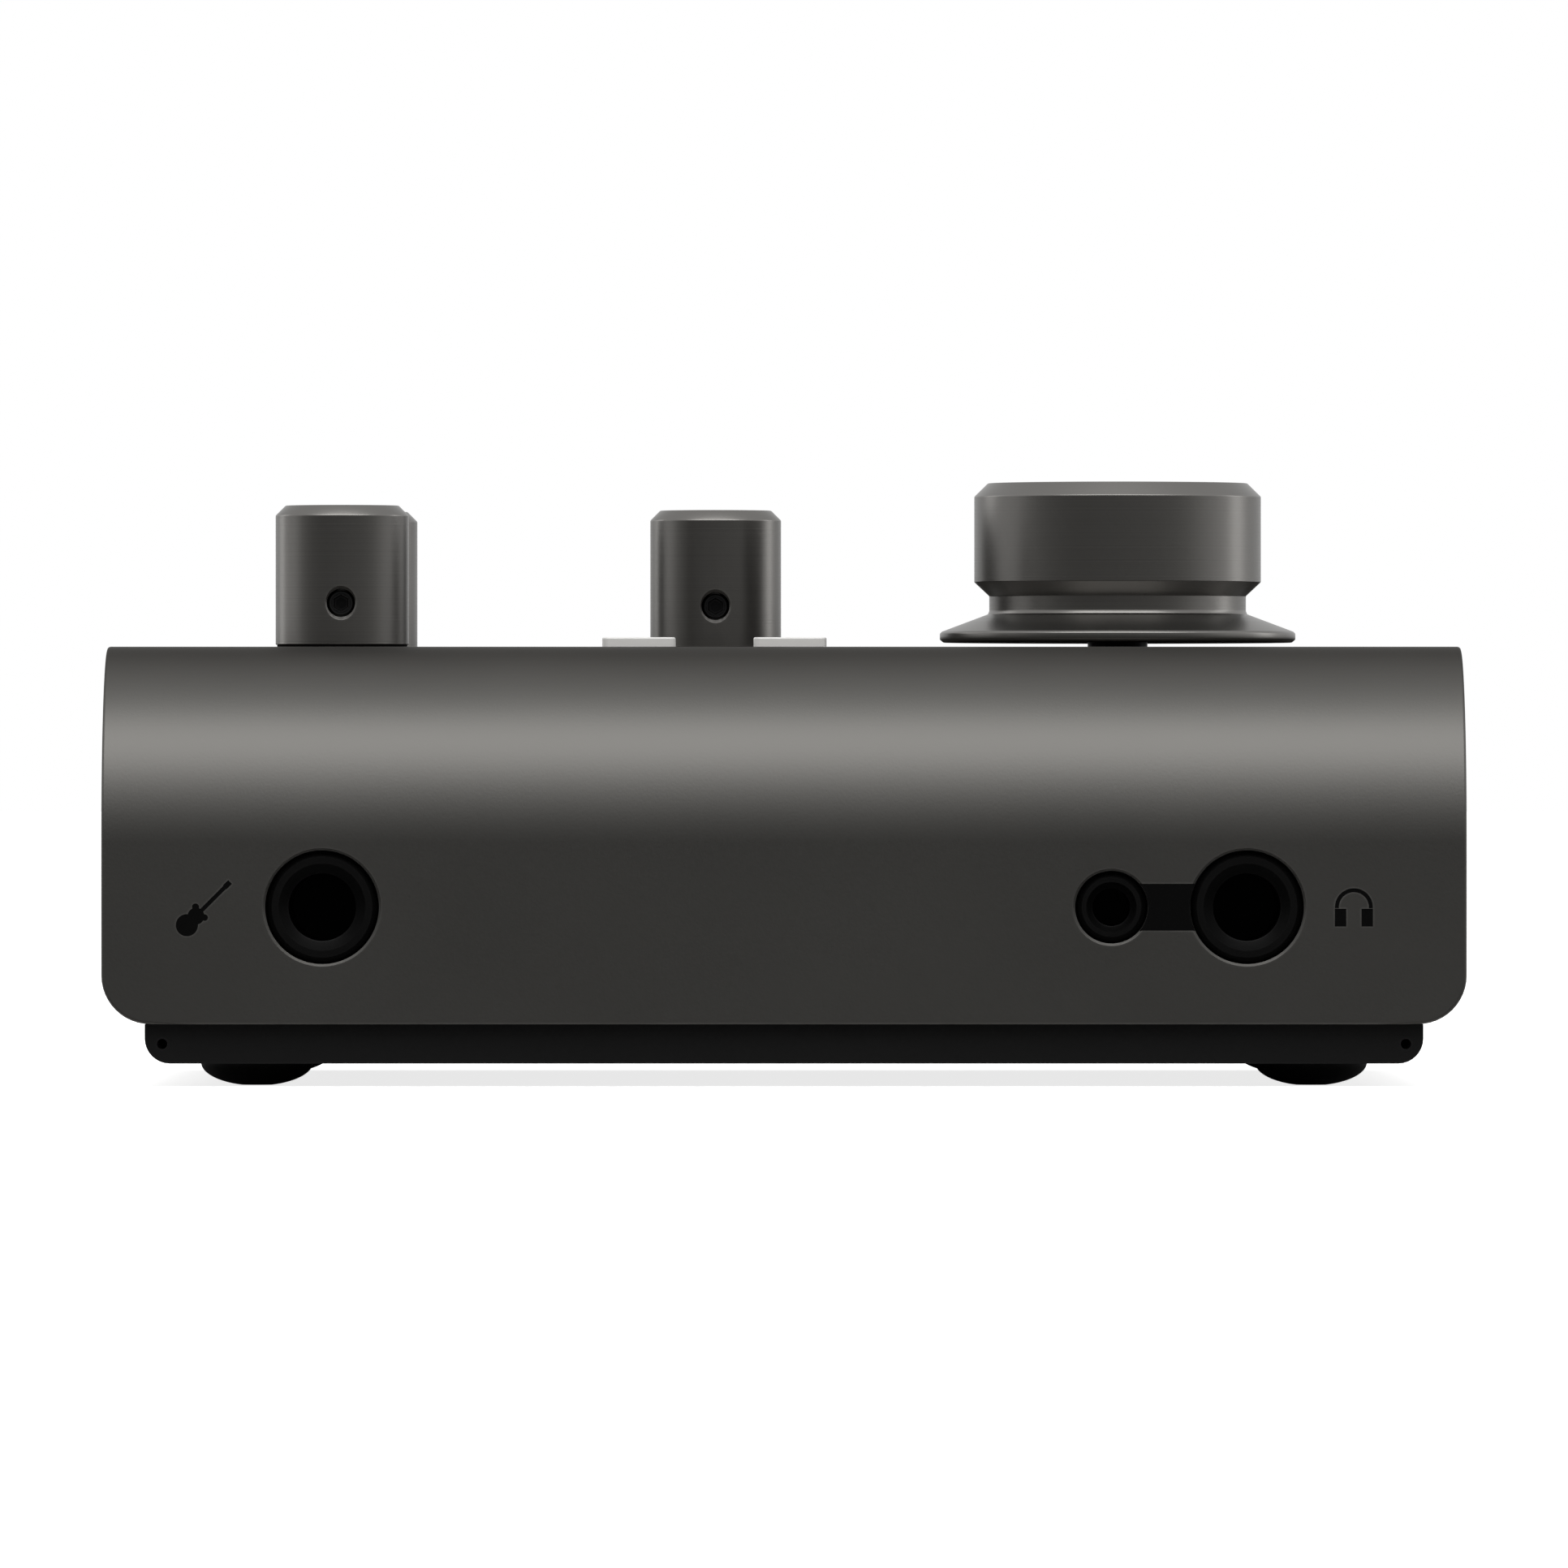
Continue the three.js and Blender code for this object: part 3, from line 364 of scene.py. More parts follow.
def grained_material(name, colour, edge_colour, metallic, roughness, grain, cloud=0.03, bump=0.02 * mm,
                     wear=0.6, edge_tint=1.0, gloss=0.5):
    """Surface with fine grain, cloudy variation and worn edges. roughness is (low, high)."""
    material, nodes, links, shader = principled(name, Metallic=metallic, Specular_IOR_Level=gloss,
                                                Specular_Tint=(edge_tint, edge_tint, edge_tint, 1))
    texture = placed_group(nodes, GRAIN, Grain_Size=grain, Cloud_Size=cloud)
    edge = placed_group(nodes, EDGE_WEAR, Amount=wear)
    clouded = mixed(nodes, links, texture.outputs["Cloud"], *shaded(colour, 0.94, 1.06))
    tinted = mixed(nodes, links, edge.outputs["Edge"], clouded, edge_colour)
    rough = spread_value(nodes, links, texture.outputs["Cloud"], *roughness)
    normal = bumped(nodes, links, texture.outputs["Grain"], 0.6, bump)
    wired(links, (tinted, shader.inputs["Base Color"]), (rough, shader.inputs["Roughness"]),
          (normal, shader.inputs["Normal"]))
    return material


def edit_select(piece, kind, wanted):
    """In edit mode, selects the faces or edges for which wanted is true."""
    bpy.ops.mesh.select_mode(type={"faces": "FACE", "edges": "EDGE"}[kind])
    bpy.ops.mesh.select_all(action="DESELECT")
    mesh = bmesh.from_edit_mesh(piece.data)
    for element in getattr(mesh, kind):
        if wanted(element):
            element.select_set(True)
    bmesh.update_edit_mesh(piece.data)


def middle(edge):
    return (edge.verts[0].co + edge.verts[1].co) / 2


def runs_along(edge, axis, length):
    """True for an edge that covers more than a length along an axis, "x", "y" or "z"."""
    start, end = (getattr(vertex.co, axis) for vertex in edge.verts)
    return abs(start - end) > length


def rounded_edges(piece, width, segments, wanted):
    """Rounds those edges of the active piece for which wanted is true."""
    bpy.ops.object.mode_set(mode="EDIT")
    edit_select(piece, "edges", wanted)
    bpy.ops.mesh.bevel(offset=width, segments=segments, affect="EDGES")
    bpy.ops.object.mode_set(mode="OBJECT")


def activate(piece):
    bpy.ops.object.select_all(action="DESELECT")
    piece.select_set(True)
    bpy.context.view_layer.objects.active = piece


def apply_modifier(piece, kind, **settings):
    activate(piece)
    modifier = piece.modifiers.new("step", kind)
    for key, value in settings.items():
        setattr(modifier, key, value)
    bpy.ops.object.modifier_apply(modifier=modifier.name)


def block(name, low, high):
    """A box between two corners, to be shaped further."""
    bpy.ops.object.select_all(action="DESELECT")
    bpy.ops.mesh.primitive_cube_add(size=1, location=(Vector(low) + Vector(high)) / 2)
    piece = bpy.context.object
    piece.scale = Vector(high) - Vector(low)
    bpy.ops.object.transform_apply()
    piece.name = piece.data.name = name
    return piece


def turned(name, profile, place=(0, 0, 0), turn=(0, 0, 0), facets=96):
    """A round piece drawn from a disc through the [radius, height] points of its profile."""
    bpy.ops.object.select_all(action="DESELECT")
    radius, height = profile[0]
    bpy.ops.mesh.primitive_circle_add(vertices=facets, radius=radius, fill_type="NGON")
    piece = bpy.context.object
    bpy.ops.object.mode_set(mode="EDIT")
    bpy.ops.transform.translate(value=(0, 0, height))
    for next_radius, next_height in profile[1:]:
        bpy.ops.mesh.extrude_region_move(TRANSFORM_OT_translate={"value": (0, 0, next_height - height)})
        share = next_radius / radius
        bpy.ops.transform.resize(value=(share, share, 1), center_override=(0, 0, next_height))
        radius, height = next_radius, next_height
    bpy.ops.mesh.select_all(action="SELECT")
    bpy.ops.mesh.normals_make_consistent(inside=False)
    bpy.ops.object.mode_set(mode="OBJECT")
    piece.location, piece.rotation_euler = place, turn
    bpy.ops.object.transform_apply()
    piece.name = piece.data.name = name
    return piece


def cut(piece, *cutters, operation="DIFFERENCE"):
    for cutter in cutters:
        apply_modifier(piece, "BOOLEAN", object=cutter, operation=operation, solver="EXACT")
        bpy.data.objects.remove(cutter)


def united(piece, *others):
    cut(piece, *others, operation="UNION")


def eased(piece, width, segments=3, angle=28):
    """Rounds the edges that are sharper than an angle in degrees."""
    apply_modifier(piece, "BEVEL", width=width, segments=segments, limit_method="ANGLE",
                   angle_limit=math.radians(angle), use_clamp_overlap=True)


def smoothed(piece, angle=32):
    activate(piece)
    bpy.ops.object.shade_smooth_by_angle(angle=math.radians(angle))
    apply_modifier(piece, "WEIGHTED_NORMAL", keep_sharp=True, weight=60)


def finished(piece, material, body, slot, *nodes):
    """Gives a finished piece its material and body, and hides the CAD nodes it stands for. slot is not used.
    """
    piece.data.materials.clear()
    piece.data.materials.append(material)
    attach(piece, body)
    if nodes:
        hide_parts(*nodes)


TOWARDS_FRONT = (math.pi / 2, 0, 0)     # turns a piece's +Z to -Y
TOWARDS_REAR = (-math.pi / 2, 0, 0)     # turns a piece's +Z to +Y
TOWARDS_TABLE = (math.pi, 0, 0)         # turns a piece's +Z to -Z


def round_cutter(radius, place, turn=(0, 0, 0), ease=HOLE_EASE, depth=HOLE_DEPTH, facets=96):
    """A round hole with an eased mouth, entered at a place along the turned -Z."""
    return turned("cutter", [
        [radius, -depth], [radius, -ease], [radius + ease, 0], [radius + ease + CUTTER_PAST, CUTTER_PAST],
    ], place, turn, facets)


def square_cutter(place, size, corner):
    half = size / 2
    cutter = block("cutter", (place[0] - half, place[1] - half, place[2] - HOLE_DEPTH),
                   (place[0] + half, place[1] + half, place[2] + CUTTER_PAST))
    rounded_edges(cutter, corner, 6, lambda edge: runs_along(edge, "z", HOLE_DEPTH / 2))
    return cutter


def middle_of(node):
    low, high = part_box(node)
    return (low + high) / 2


inner_x = shell_high.x - SHELL_WALL
ceiling = shell_high.z - SHELL_WALL
shell = block("shell", (shell_low.x, shell_low.y, SHELL_FOOT), shell_high)
rounded_edges(shell, BULLNOSE, 40, lambda edge: middle(edge).y < -59 * mm and middle(edge).z > 42 * mm)
rounded_edges(shell, LOWER_CURL, 12, lambda edge: abs(middle(edge).x) > 66 * mm and middle(edge).z < 7 * mm
              and runs_along(edge, "y", 50 * mm))
rounded_edges(shell, SHARP_EDGE, 3, lambda edge: edge.calc_face_angle() > SHARP_ANGLE
              and middle(edge).z > SHELL_FOOT + HAIR)
hollow = block("cutter", (-inner_x, shell_low.y + SHELL_WALL, SHELL_FOOT + LAND_HEIGHT),
               (inner_x, shell_high.y + mm, ceiling))
rounded_edges(hollow, BULLNOSE - SHELL_WALL, 40,
              lambda edge: middle(edge).y < -57 * mm and middle(edge).z > 40 * mm)
united(hollow, block("cutter", (-LAND_EDGE, shell_low.y + SHELL_WALL, SHELL_FOOT - mm),
                     (LAND_EDGE, shell_high.y + mm, SHELL_FOOT + LAND_HEIGHT + mm)))
cut(shell, hollow)

tray_low, tray_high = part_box("base_tray")
POST_INSET_X, POST_INSET_Y = 9 * mm, 8.5 * mm
POST_RADIUS, THREAD_HOLE = 3 * mm, 1.6 * mm
POST_LOW, POST_TOP = 3.75 * mm, 30 * mm
POST_WEB = 2 * mm
CORNERS = {"front_left": (-1, -1), "front_right": (1, -1), "rear_left": (-1, 1), "rear_right": (1, 1)}


def tube(low, high, outer, inner, place):
    """A post with a hole through it."""
    post = turned("post", [[outer, low], [outer, high]], (*place, 0), facets=32)
    cut(post, turned("cutter", [[inner, low - mm], [inner, high + mm]], (*place, 0), facets=24))
    return post


for side, end in CORNERS.values():
    x, y = side * (shell_high.x - POST_INSET_X), end * (shell_high.y - POST_INSET_Y)
    web_x = side * (inner_x + 0.5 * mm)
    web = block("web", (min(x + side * 2 * mm, web_x), y - POST_WEB / 2, SHELL_FOOT + 2.6 * mm),
                (max(x + side * 2 * mm, web_x), y + POST_WEB / 2, POST_TOP))
    united(shell, tube(POST_LOW, POST_TOP, POST_RADIUS, THREAD_HOLE, (x, y)), web)
for name in ("front_right", "rear_right", "rear_left", "middle_left"):
    low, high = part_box("control_board_screw_" + name)
    board_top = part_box("control_board")[1].z
    united(shell, tube(board_top + 0.3 * mm, ceiling + 0.5 * mm, POST_RADIUS, THREAD_HOLE,
                       ((low.x + high.x) / 2, (low.y + high.y) / 2)))
panel_low, panel_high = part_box("rear_panel")
for side in (-1, 1):
    near, far = inner_x - 9.5 * mm, inner_x + 0.5 * mm
    low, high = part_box("panel_screw_left" if side < 0 else "panel_screw_right")
    corner = block("corner", (min(side * near, side * far), panel_low.y - 10.8 * mm, ceiling - 9 * mm),
                   (max(side * near, side * far), panel_low.y - 0.3 * mm, ceiling + 0.5 * mm))
    cut(corner, turned("cutter", [[THREAD_HOLE, -12 * mm], [THREAD_HOLE, mm]],
                       ((low.x + high.x) / 2, panel_low.y, (low.z + high.z) / 2), TOWARDS_REAR, 24))
    united(shell, corner)

KNOBS = ("mic_gain", "instrument_gain", "monitor_mix")
BUTTONS = ("left", "right")
FRONT_JACKS = {"instrument_jack": 5.55 * mm, "headphone_jack_large": 5.55 * mm,
               "headphone_jack_small": 3.55 * mm}
SHAFT_HOLE, SHAFT_HOLE_EASE = 4.6 * mm, 0.2 * mm
BUTTON_HOLE, BUTTON_HOLE_CORNER = 7.75 * mm, 0.95 * mm
WINDOW_HOLE, WINDOW_HOLE_EASE = 1.3 * mm, 0.15 * mm
JACK_HEIGHT = 17.5 * mm
top_plane = shell_high.z
front_plane = shell_low.y
for name in KNOBS + ("volume",):
    centre = middle_of(name + "_knob")
    cut(shell, round_cutter(SHAFT_HOLE, (centre.x, centre.y, top_plane), ease=SHAFT_HOLE_EASE, facets=48))
for name, radius in FRONT_JACKS.items():
    low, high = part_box(name)
    cut(shell, round_cutter(radius, ((low.x + high.x) / 2, front_plane, JACK_HEIGHT), TOWARDS_FRONT))
for name in BUTTONS:
    centre = middle_of(name + "_button_cap")
    cut(shell, square_cutter((centre.x, centre.y, top_plane), BUTTON_HOLE, BUTTON_HOLE_CORNER))
guide_low, guide_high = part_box("meter_light_guide")
WINDOW_ROWS, WINDOW_COLUMNS = 6, 2
WINDOW_PITCH, WINDOW_COLUMN_PITCH = 6 * mm, 5 * mm
windows = [
    ((guide_low.x + guide_high.x) / 2 + (column - 0.5) * WINDOW_COLUMN_PITCH,
     (row - (WINDOW_ROWS - 1) / 2) * WINDOW_PITCH)
    for column in range(WINDOW_COLUMNS) for row in range(WINDOW_ROWS)
]
for x, y in windows:
    cut(shell, round_cutter(WINDOW_HOLE, (x, y, top_plane), ease=WINDOW_HOLE_EASE, facets=32))

ENGRAVING = 0.22 * mm
INK_SINK = 0.06 * mm
GUITAR_X, GUITAR_SHIFT, GUITAR_DROP = -56.6 * mm, 1.55 * mm, 1.75 * mm
GUITAR_BODY = ((1.25, 0, 0.82), (1.85, 0.66, 0.34), (1.75, -0.70, 0.32))
HEADPHONES_X = 55.5 * mm
BAND_OUTER, BAND_INNER = 1.85 * mm, 1.46 * mm
CUP_OFFSET, CUP_HALF_WIDTH = 1.30 * mm, 0.56 * mm
BAR_HALF_HEIGHT = 2.28 * mm


def disc_prism(x, z, radius, y_low, y_high, facets=40):
    return turned("print", [[radius, -y_high], [radius, -y_low]], (x, 0, z), TOWARDS_FRONT, facets)


def guitar_prism(y_low, y_high):
    """A small guitar seen from its front, neck up to the right."""
    prism = disc_prism(0, 0, 1.08 * mm, y_low, y_high)
    for x, z, radius in GUITAR_BODY:
        united(prism, disc_prism(x * mm, z * mm, radius * mm, y_low, y_high))
    united(prism, block("print", (1.8 * mm, y_low, -0.2 * mm), (5.35 * mm, y_high, 0.2 * mm)))
    united(prism, block("print", (5.2 * mm, y_low, -0.26 * mm), (5.95 * mm, y_high, 0.26 * mm)))
    activate(prism)
    prism.location = (GUITAR_X - GUITAR_SHIFT, 0, JACK_HEIGHT - GUITAR_DROP)
    prism.rotation_euler = (0, -math.radians(45), 0)
    bpy.ops.object.transform_apply()
    return prism


def headphones_prism(y_low, y_high):
    """A headband arc with an ear cup at each end."""
    arc = disc_prism(HEADPHONES_X, JACK_HEIGHT, BAND_OUTER, y_low, y_high, 64)
    cut(arc, disc_prism(HEADPHONES_X, JACK_HEIGHT, BAND_INNER, y_low - mm, y_high + mm, 64))
    cut(arc, block("cutter", (HEADPHONES_X - 3 * mm, y_low - mm, JACK_HEIGHT - 3 * mm),
                   (HEADPHONES_X + 3 * mm, y_high + mm, JACK_HEIGHT - 0.1 * mm)))
    for side in (-1, 1):
        cup_x = HEADPHONES_X + side * CUP_OFFSET
        united(arc, block("print", (cup_x - CUP_HALF_WIDTH, y_low, JACK_HEIGHT - 1.88 * mm),
                          (cup_x + CUP_HALF_WIDTH, y_high, JACK_HEIGHT - 0.15 * mm)))
    return arc


def bar_prism(y_low, y_high):
    """The flat link between the two headphone jacks."""
    ends = [(middle_of(name).x, FRONT_JACKS[name])
            for name in ("headphone_jack_small", "headphone_jack_large")]
    prism = block("print", (ends[0][0], y_low, JACK_HEIGHT - BAR_HALF_HEIGHT),
                  (ends[1][0], y_high, JACK_HEIGHT + BAR_HALF_HEIGHT))
    for x, radius in ends:
        cut(prism, disc_prism(x, JACK_HEIGHT, radius + HAIR, y_low - mm, y_high + mm, 96))
    return prism


PRINTS = {"guitar_print": guitar_prism, "headphones_print": headphones_prism, "jack_link_print": bar_prism}
for prism in PRINTS.values():
    cut(shell, prism(front_plane - 0.5 * mm, front_plane + ENGRAVING))
smoothed(shell)
# edge_tint 0.3 darkens the shell's grazing reflections: painted shade in place of darker surroundings behind
shell_finish = grained_material("anodised_shell", SHELL_COLOUR, SHELL_EDGE_COLOUR, 1.0, (0.42, 0.46),
                                0.28 * mm, cloud=0.02, bump=0.012 * mm, wear=0.9, edge_tint=0.3)
finished(shell, shell_finish, "chassis", "anodised_shell", "top_shell")

# ---- Front print ----
# A guitar, headphones and the link between the headphone jacks, cut shallowly into the shell's face and
# filled with matt black enamel.

INK_COLOUR = (0.0020, 0.0020, 0.0020, 1)

ink_finish = grained_material("black_enamel", INK_COLOUR, (0.006, 0.006, 0.006, 1), 0.0, (0.5, 0.62),
                              0.2 * mm, bump=0.004 * mm, wear=0.3, gloss=0.04)
for name, prism in PRINTS.items():
    ink = prism(front_plane + INK_SINK, front_plane + ENGRAVING)
    finished(ink, ink_finish, "chassis", "black_plastic")
    ink.name = ink.data.name = name

# ---- Base tray ----
# Folded black sheet steel under the shell, powder coated. The side bends are rounded, a relief hole
# sits where they meet the front and rear flanges, and four standoffs inside carry the main board.

STEEL_COLOUR = (0.0040, 0.0040, 0.0041, 1)
STEEL_EDGE_COLOUR = (0.016, 0.016, 0.016, 1)
SHEET = 1.2 * mm
TRAY_BEND = 2.45 * mm
TRAY_BOTTOM = 2.25 * mm
FLANGE_TOP = 6.08 * mm
RELIEF_RADIUS = 0.5 * mm
STANDOFF_TOP = 8.8 * mm
COUNTERSINK = 3.0 * mm


def bent_block(low, high, bend):
    """A block with its two lower long edges rounded."""
    piece = block("tray", low, high)
    rounded_edges(piece, bend, 8, lambda edge: abs(middle(edge).x) > 60 * mm and middle(edge).z < 4 * mm
                  and runs_along(edge, "y", 50 * mm))
    return piece


tray = bent_block((tray_low.x, tray_low.y, TRAY_BOTTOM), (tray_high.x, tray_high.y, FLANGE_TOP), TRAY_BEND)
cut(tray, bent_block((tray_low.x + SHEET, tray_low.y + SHEET, TRAY_BOTTOM + SHEET),
                     (tray_high.x - SHEET, tray_high.y - SHEET, FLANGE_TOP + mm), TRAY_BEND - SHEET))
relief_x = tray_high.x - SHEET - RELIEF_RADIUS
relief_z = (TRAY_BOTTOM + FLANGE_TOP) / 2
for side, end in CORNERS.values():
    cut(tray, turned("cutter", [[RELIEF_RADIUS, -2 * SHEET], [RELIEF_RADIUS, mm]],
                     (side * relief_x, end * tray_high.y, relief_z),
                     TOWARDS_FRONT if end < 0 else TOWARDS_REAR, 32))
    screw_x, screw_y = side * (shell_high.x - POST_INSET_X), end * (shell_high.y - POST_INSET_Y)
    cut(tray, turned("cutter", [[COUNTERSINK - SHEET - 0.3 * mm, -SHEET - 0.3 * mm], [COUNTERSINK, 0],
                                [COUNTERSINK + mm, mm]], (screw_x, screw_y, TRAY_BOTTOM), TOWARDS_TABLE, 48))
eased(tray, 0.14 * mm, segments=2, angle=40)
for name in CORNERS:
    centre = middle_of("main_board_screw_" + name)
    standoff = tube(TRAY_BOTTOM + SHEET / 2, STANDOFF_TOP, POST_RADIUS, THREAD_HOLE, (centre.x, centre.y))
    cut(standoff, block("cutter", (centre.x - 4 * mm, centre.y - 4 * mm, 0),
                        (centre.x + 4 * mm, centre.y + 4 * mm, TRAY_BOTTOM + SHEET * 0.75)))
    united(tray, standoff)
smoothed(tray)
steel_finish = grained_material("black_steel", STEEL_COLOUR, STEEL_EDGE_COLOUR, 0.0, (0.42, 0.55),
                                0.45 * mm, bump=0.02 * mm, wear=0.5, gloss=0.16)
finished(tray, steel_finish, "chassis", "black_steel", "base_tray")

# ---- Feet ----
# Four moulded black rubber domes, each held by a peg pushed through the tray; matte, with a small flat
# worn on the end.

RUBBER_COLOUR = (0.0020, 0.0020, 0.0020, 1)
FOOT_RADIUS = 5.5 * mm
FOOT_FLAT = 1.5 * mm
FOOT_TOP = 2.2 * mm
PEG_RADIUS = 1.8 * mm
PEG_TOP = 4.3 * mm
DOME_STEPS = 20

rubber_finish = grained_material("foot_rubber", RUBBER_COLOUR, (0.012, 0.012, 0.012, 1), 0.0, (0.62, 0.78),
                                 0.25 * mm, bump=0.015 * mm, wear=0.3, gloss=0.2)
dome = []
flat_angle = math.asin(FOOT_FLAT / FOOT_RADIUS)
for step in range(DOME_STEPS + 1):
    angle = flat_angle + step / DOME_STEPS * (math.pi / 2 - flat_angle)
    dome.append([FOOT_RADIUS * math.sin(angle), FOOT_TOP * (1 - math.cos(angle) / math.cos(flat_angle))])
dome += [[PEG_RADIUS, FOOT_TOP], [PEG_RADIUS, PEG_TOP]]


def copied(piece, name, shift):
    """A copy with its own mesh, shifted in place."""
    activate(piece)
    bpy.ops.object.duplicate()
    copy = bpy.context.object
    copy.parent = None
    for key in [key for key in copy.keys() if key.startswith("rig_")]:
        del copy[key]
    copy.location = shift
    bpy.ops.object.transform_apply()
    copy.name = copy.data.name = name
    return copy


pattern = turned("foot_pattern", dome)
smoothed(pattern)
for corner in CORNERS:
    centre = middle_of("foot_" + corner)
    foot = copied(pattern, "rubber_foot_" + corner, (centre.x, centre.y, 0))
    finished(foot, rubber_finish, "chassis", "rubber", "foot_" + corner)
bpy.data.objects.remove(pattern)

# ---- Screws ----
# Cross-head machine screws: four black countersunk ones hold the tray, two black pan heads the rear
# panel, and eight bright pan heads the boards.

SCREW_COLOUR = (0.020, 0.020, 0.021, 1)
BRIGHT_STEEL_COLOUR = (0.46, 0.45, 0.43, 1)
SHANK_RADIUS = 1.3 * mm
THREAD_PITCH = 0.5 * mm
THREAD_DEPTH = 0.22 * mm
PAN_RADIUS = 2.5 * mm
PAN_HEIGHT = 1.6 * mm
FLAT_RADIUS = 2.7 * mm
RECESS_REACH = 1.35 * mm
RECESS_WIDTH = 0.55 * mm
RECESS_DEPTH = 1.1 * mm
RECESS_TAPER = 0.55

# black for the screws, and also used on the encoder shaft as painted shade
black_screw_and_shade_finish = grained_material("black_screw", SCREW_COLOUR, (0.14, 0.14, 0.14, 1), 1.0, (0.28, 0.4),
                                0.2 * mm, bump=0.006 * mm, wear=0.7)
bright_finish = grained_material("bright_steel", BRIGHT_STEEL_COLOUR, (0.7, 0.69, 0.67, 1), 1.0, (0.24, 0.36),
                                 0.2 * mm, bump=0.006 * mm, wear=0.5)


def threaded(start, end):
    """Profile points of a thread down a shank, from start to a lower end."""
    points = []
    turns = int((start - end) / THREAD_PITCH) - 1
    for turn in range(turns, 0, -1):
        height = start - turn * THREAD_PITCH
        points += [[SHANK_RADIUS - THREAD_DEPTH, height - THREAD_PITCH / 2], [SHANK_RADIUS, height]]
    return points


def cross_recess(top):
    """Tapered cross-shaped cutter that enters from a height downwards."""
    arms = []
    for length, width in ((RECESS_REACH, RECESS_WIDTH / 2), (RECESS_WIDTH / 2, RECESS_REACH)):
        arm = block("cutter", (-length, -width, top - RECESS_DEPTH), (length, width, top + 0.4 * mm))
        bpy.ops.object.mode_set(mode="EDIT")
        edit_select(arm, "faces", lambda face: face.normal.z < -0.9)
        bpy.ops.transform.resize(value=(RECESS_TAPER, RECESS_TAPER, 1),
                                 center_override=(0, 0, top - RECESS_DEPTH))
        bpy.ops.object.mode_set(mode="OBJECT")
        arms.append(arm)
    united(arms[0], arms[1])
    return arms[0]


def screw(name, length, pan):
    """A screw along -Z with the underside of its pan head, or the face of its flat head, at the origin."""
    if pan:
        top = PAN_HEIGHT
        start = 0
        head = [[SHANK_RADIUS, 0], [PAN_RADIUS, 0], [PAN_RADIUS, 0.55 * top], [0.93 * PAN_RADIUS, 0.8 * top],
                [0.76 * PAN_RADIUS, 0.95 * top], [0.5 * PAN_RADIUS, top]]
    else:
        top = 0
        start = SHANK_RADIUS - FLAT_RADIUS
        head = [[SHANK_RADIUS, start], [FLAT_RADIUS, -0.12 * mm], [FLAT_RADIUS, 0]]
    piece = turned(name, [[0.9 * mm, -length], *threaded(start, -length + 0.4 * mm), *head], facets=36)
    cut(piece, cross_recess(top))
    smoothed(piece, 40)
    return piece


def settled(piece, place, turn):
    piece.location, piece.rotation_euler = place, turn
    activate(piece)
    bpy.ops.object.transform_apply()
    return piece


for group, pan, length, turn, finish, slot in (
    ("base_screw", False, 10 * mm, TOWARDS_TABLE, black_screw_and_shade_finish, "black_screw"),
    ("panel_screw", True, 8 * mm, TOWARDS_REAR, black_screw_and_shade_finish, "black_screw"),
    ("main_board_screw", True, 6 * mm, (0, 0, 0), bright_finish, "plain_steel"),
    ("control_board_screw", True, 6 * mm, TOWARDS_TABLE, bright_finish, "plain_steel"),
):
    pattern = screw(group, length, pan)
    for node in sorted(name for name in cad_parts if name.startswith(group + "_")):
        low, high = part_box(node)
        centre = (low + high) / 2
        if turn == TOWARDS_REAR:
            place = (centre.x, high.y - PAN_HEIGHT, centre.z)
        elif turn == TOWARDS_TABLE:
            place = (centre.x, centre.y, low.z + (PAN_HEIGHT if pan else 0))
        else:
            place = (centre.x, centre.y, high.z - PAN_HEIGHT)
        fixed = settled(copied(pattern, node + "_turned", (0, 0, 0)), place, turn)
        finished(fixed, finish, "chassis", slot, node)
    bpy.data.objects.remove(pattern)

# ---- Small knobs ----
# Three knobs turned from aluminium bar and anodised grey, with a 45 degree chamfer and the tool's fine
# rings. A cross hole takes the set screw, and a filled groove on top is the pointer. A thin black washer
# under each fills the gap below the knob with painted shade.

KNOB_COLOUR = (0.155, 0.1505, 0.1435, 1)
KNOB_EDGE_COLOUR = (0.34, 0.33, 0.315, 1)
POINTER_COLOUR = (0.62, 0.62, 0.60, 1)
KNOB_RADIUS = 6.6 * mm
KNOB_CHAMFER = 1.0 * mm
KNOB_BORE = 3.3 * mm
KNOB_BORE_DEPTH = 11 * mm
SCREW_RISE = 4.1 * mm
SCREW_HOLE = 1.4 * mm
POINTER_START, POINTER_END = 1.9 * mm, 4.9 * mm
POINTER_WIDTH = 0.7 * mm
POINTER_DEPTH = 0.25 * mm
ROUND_END = 0.49
TOP_DISH = 0.12 * mm
RING_WIDTH, RING_DEPTH = 0.16 * mm, 0.004 * mm
TURNED_ROUGHNESS = (0.26, 0.36)
TURNED_TINT = (0.8, 0.8, 0.8, 1)
# the washer's near-black colour is painted shade for the gap under each knob
SHADE_WASHER_COLOUR = (0.006, 0.0058, 0.0055, 1)
SHADE_WASHER_MARGIN = 0.15 * mm
SHADE_WASHER_GAP = 0.03 * mm


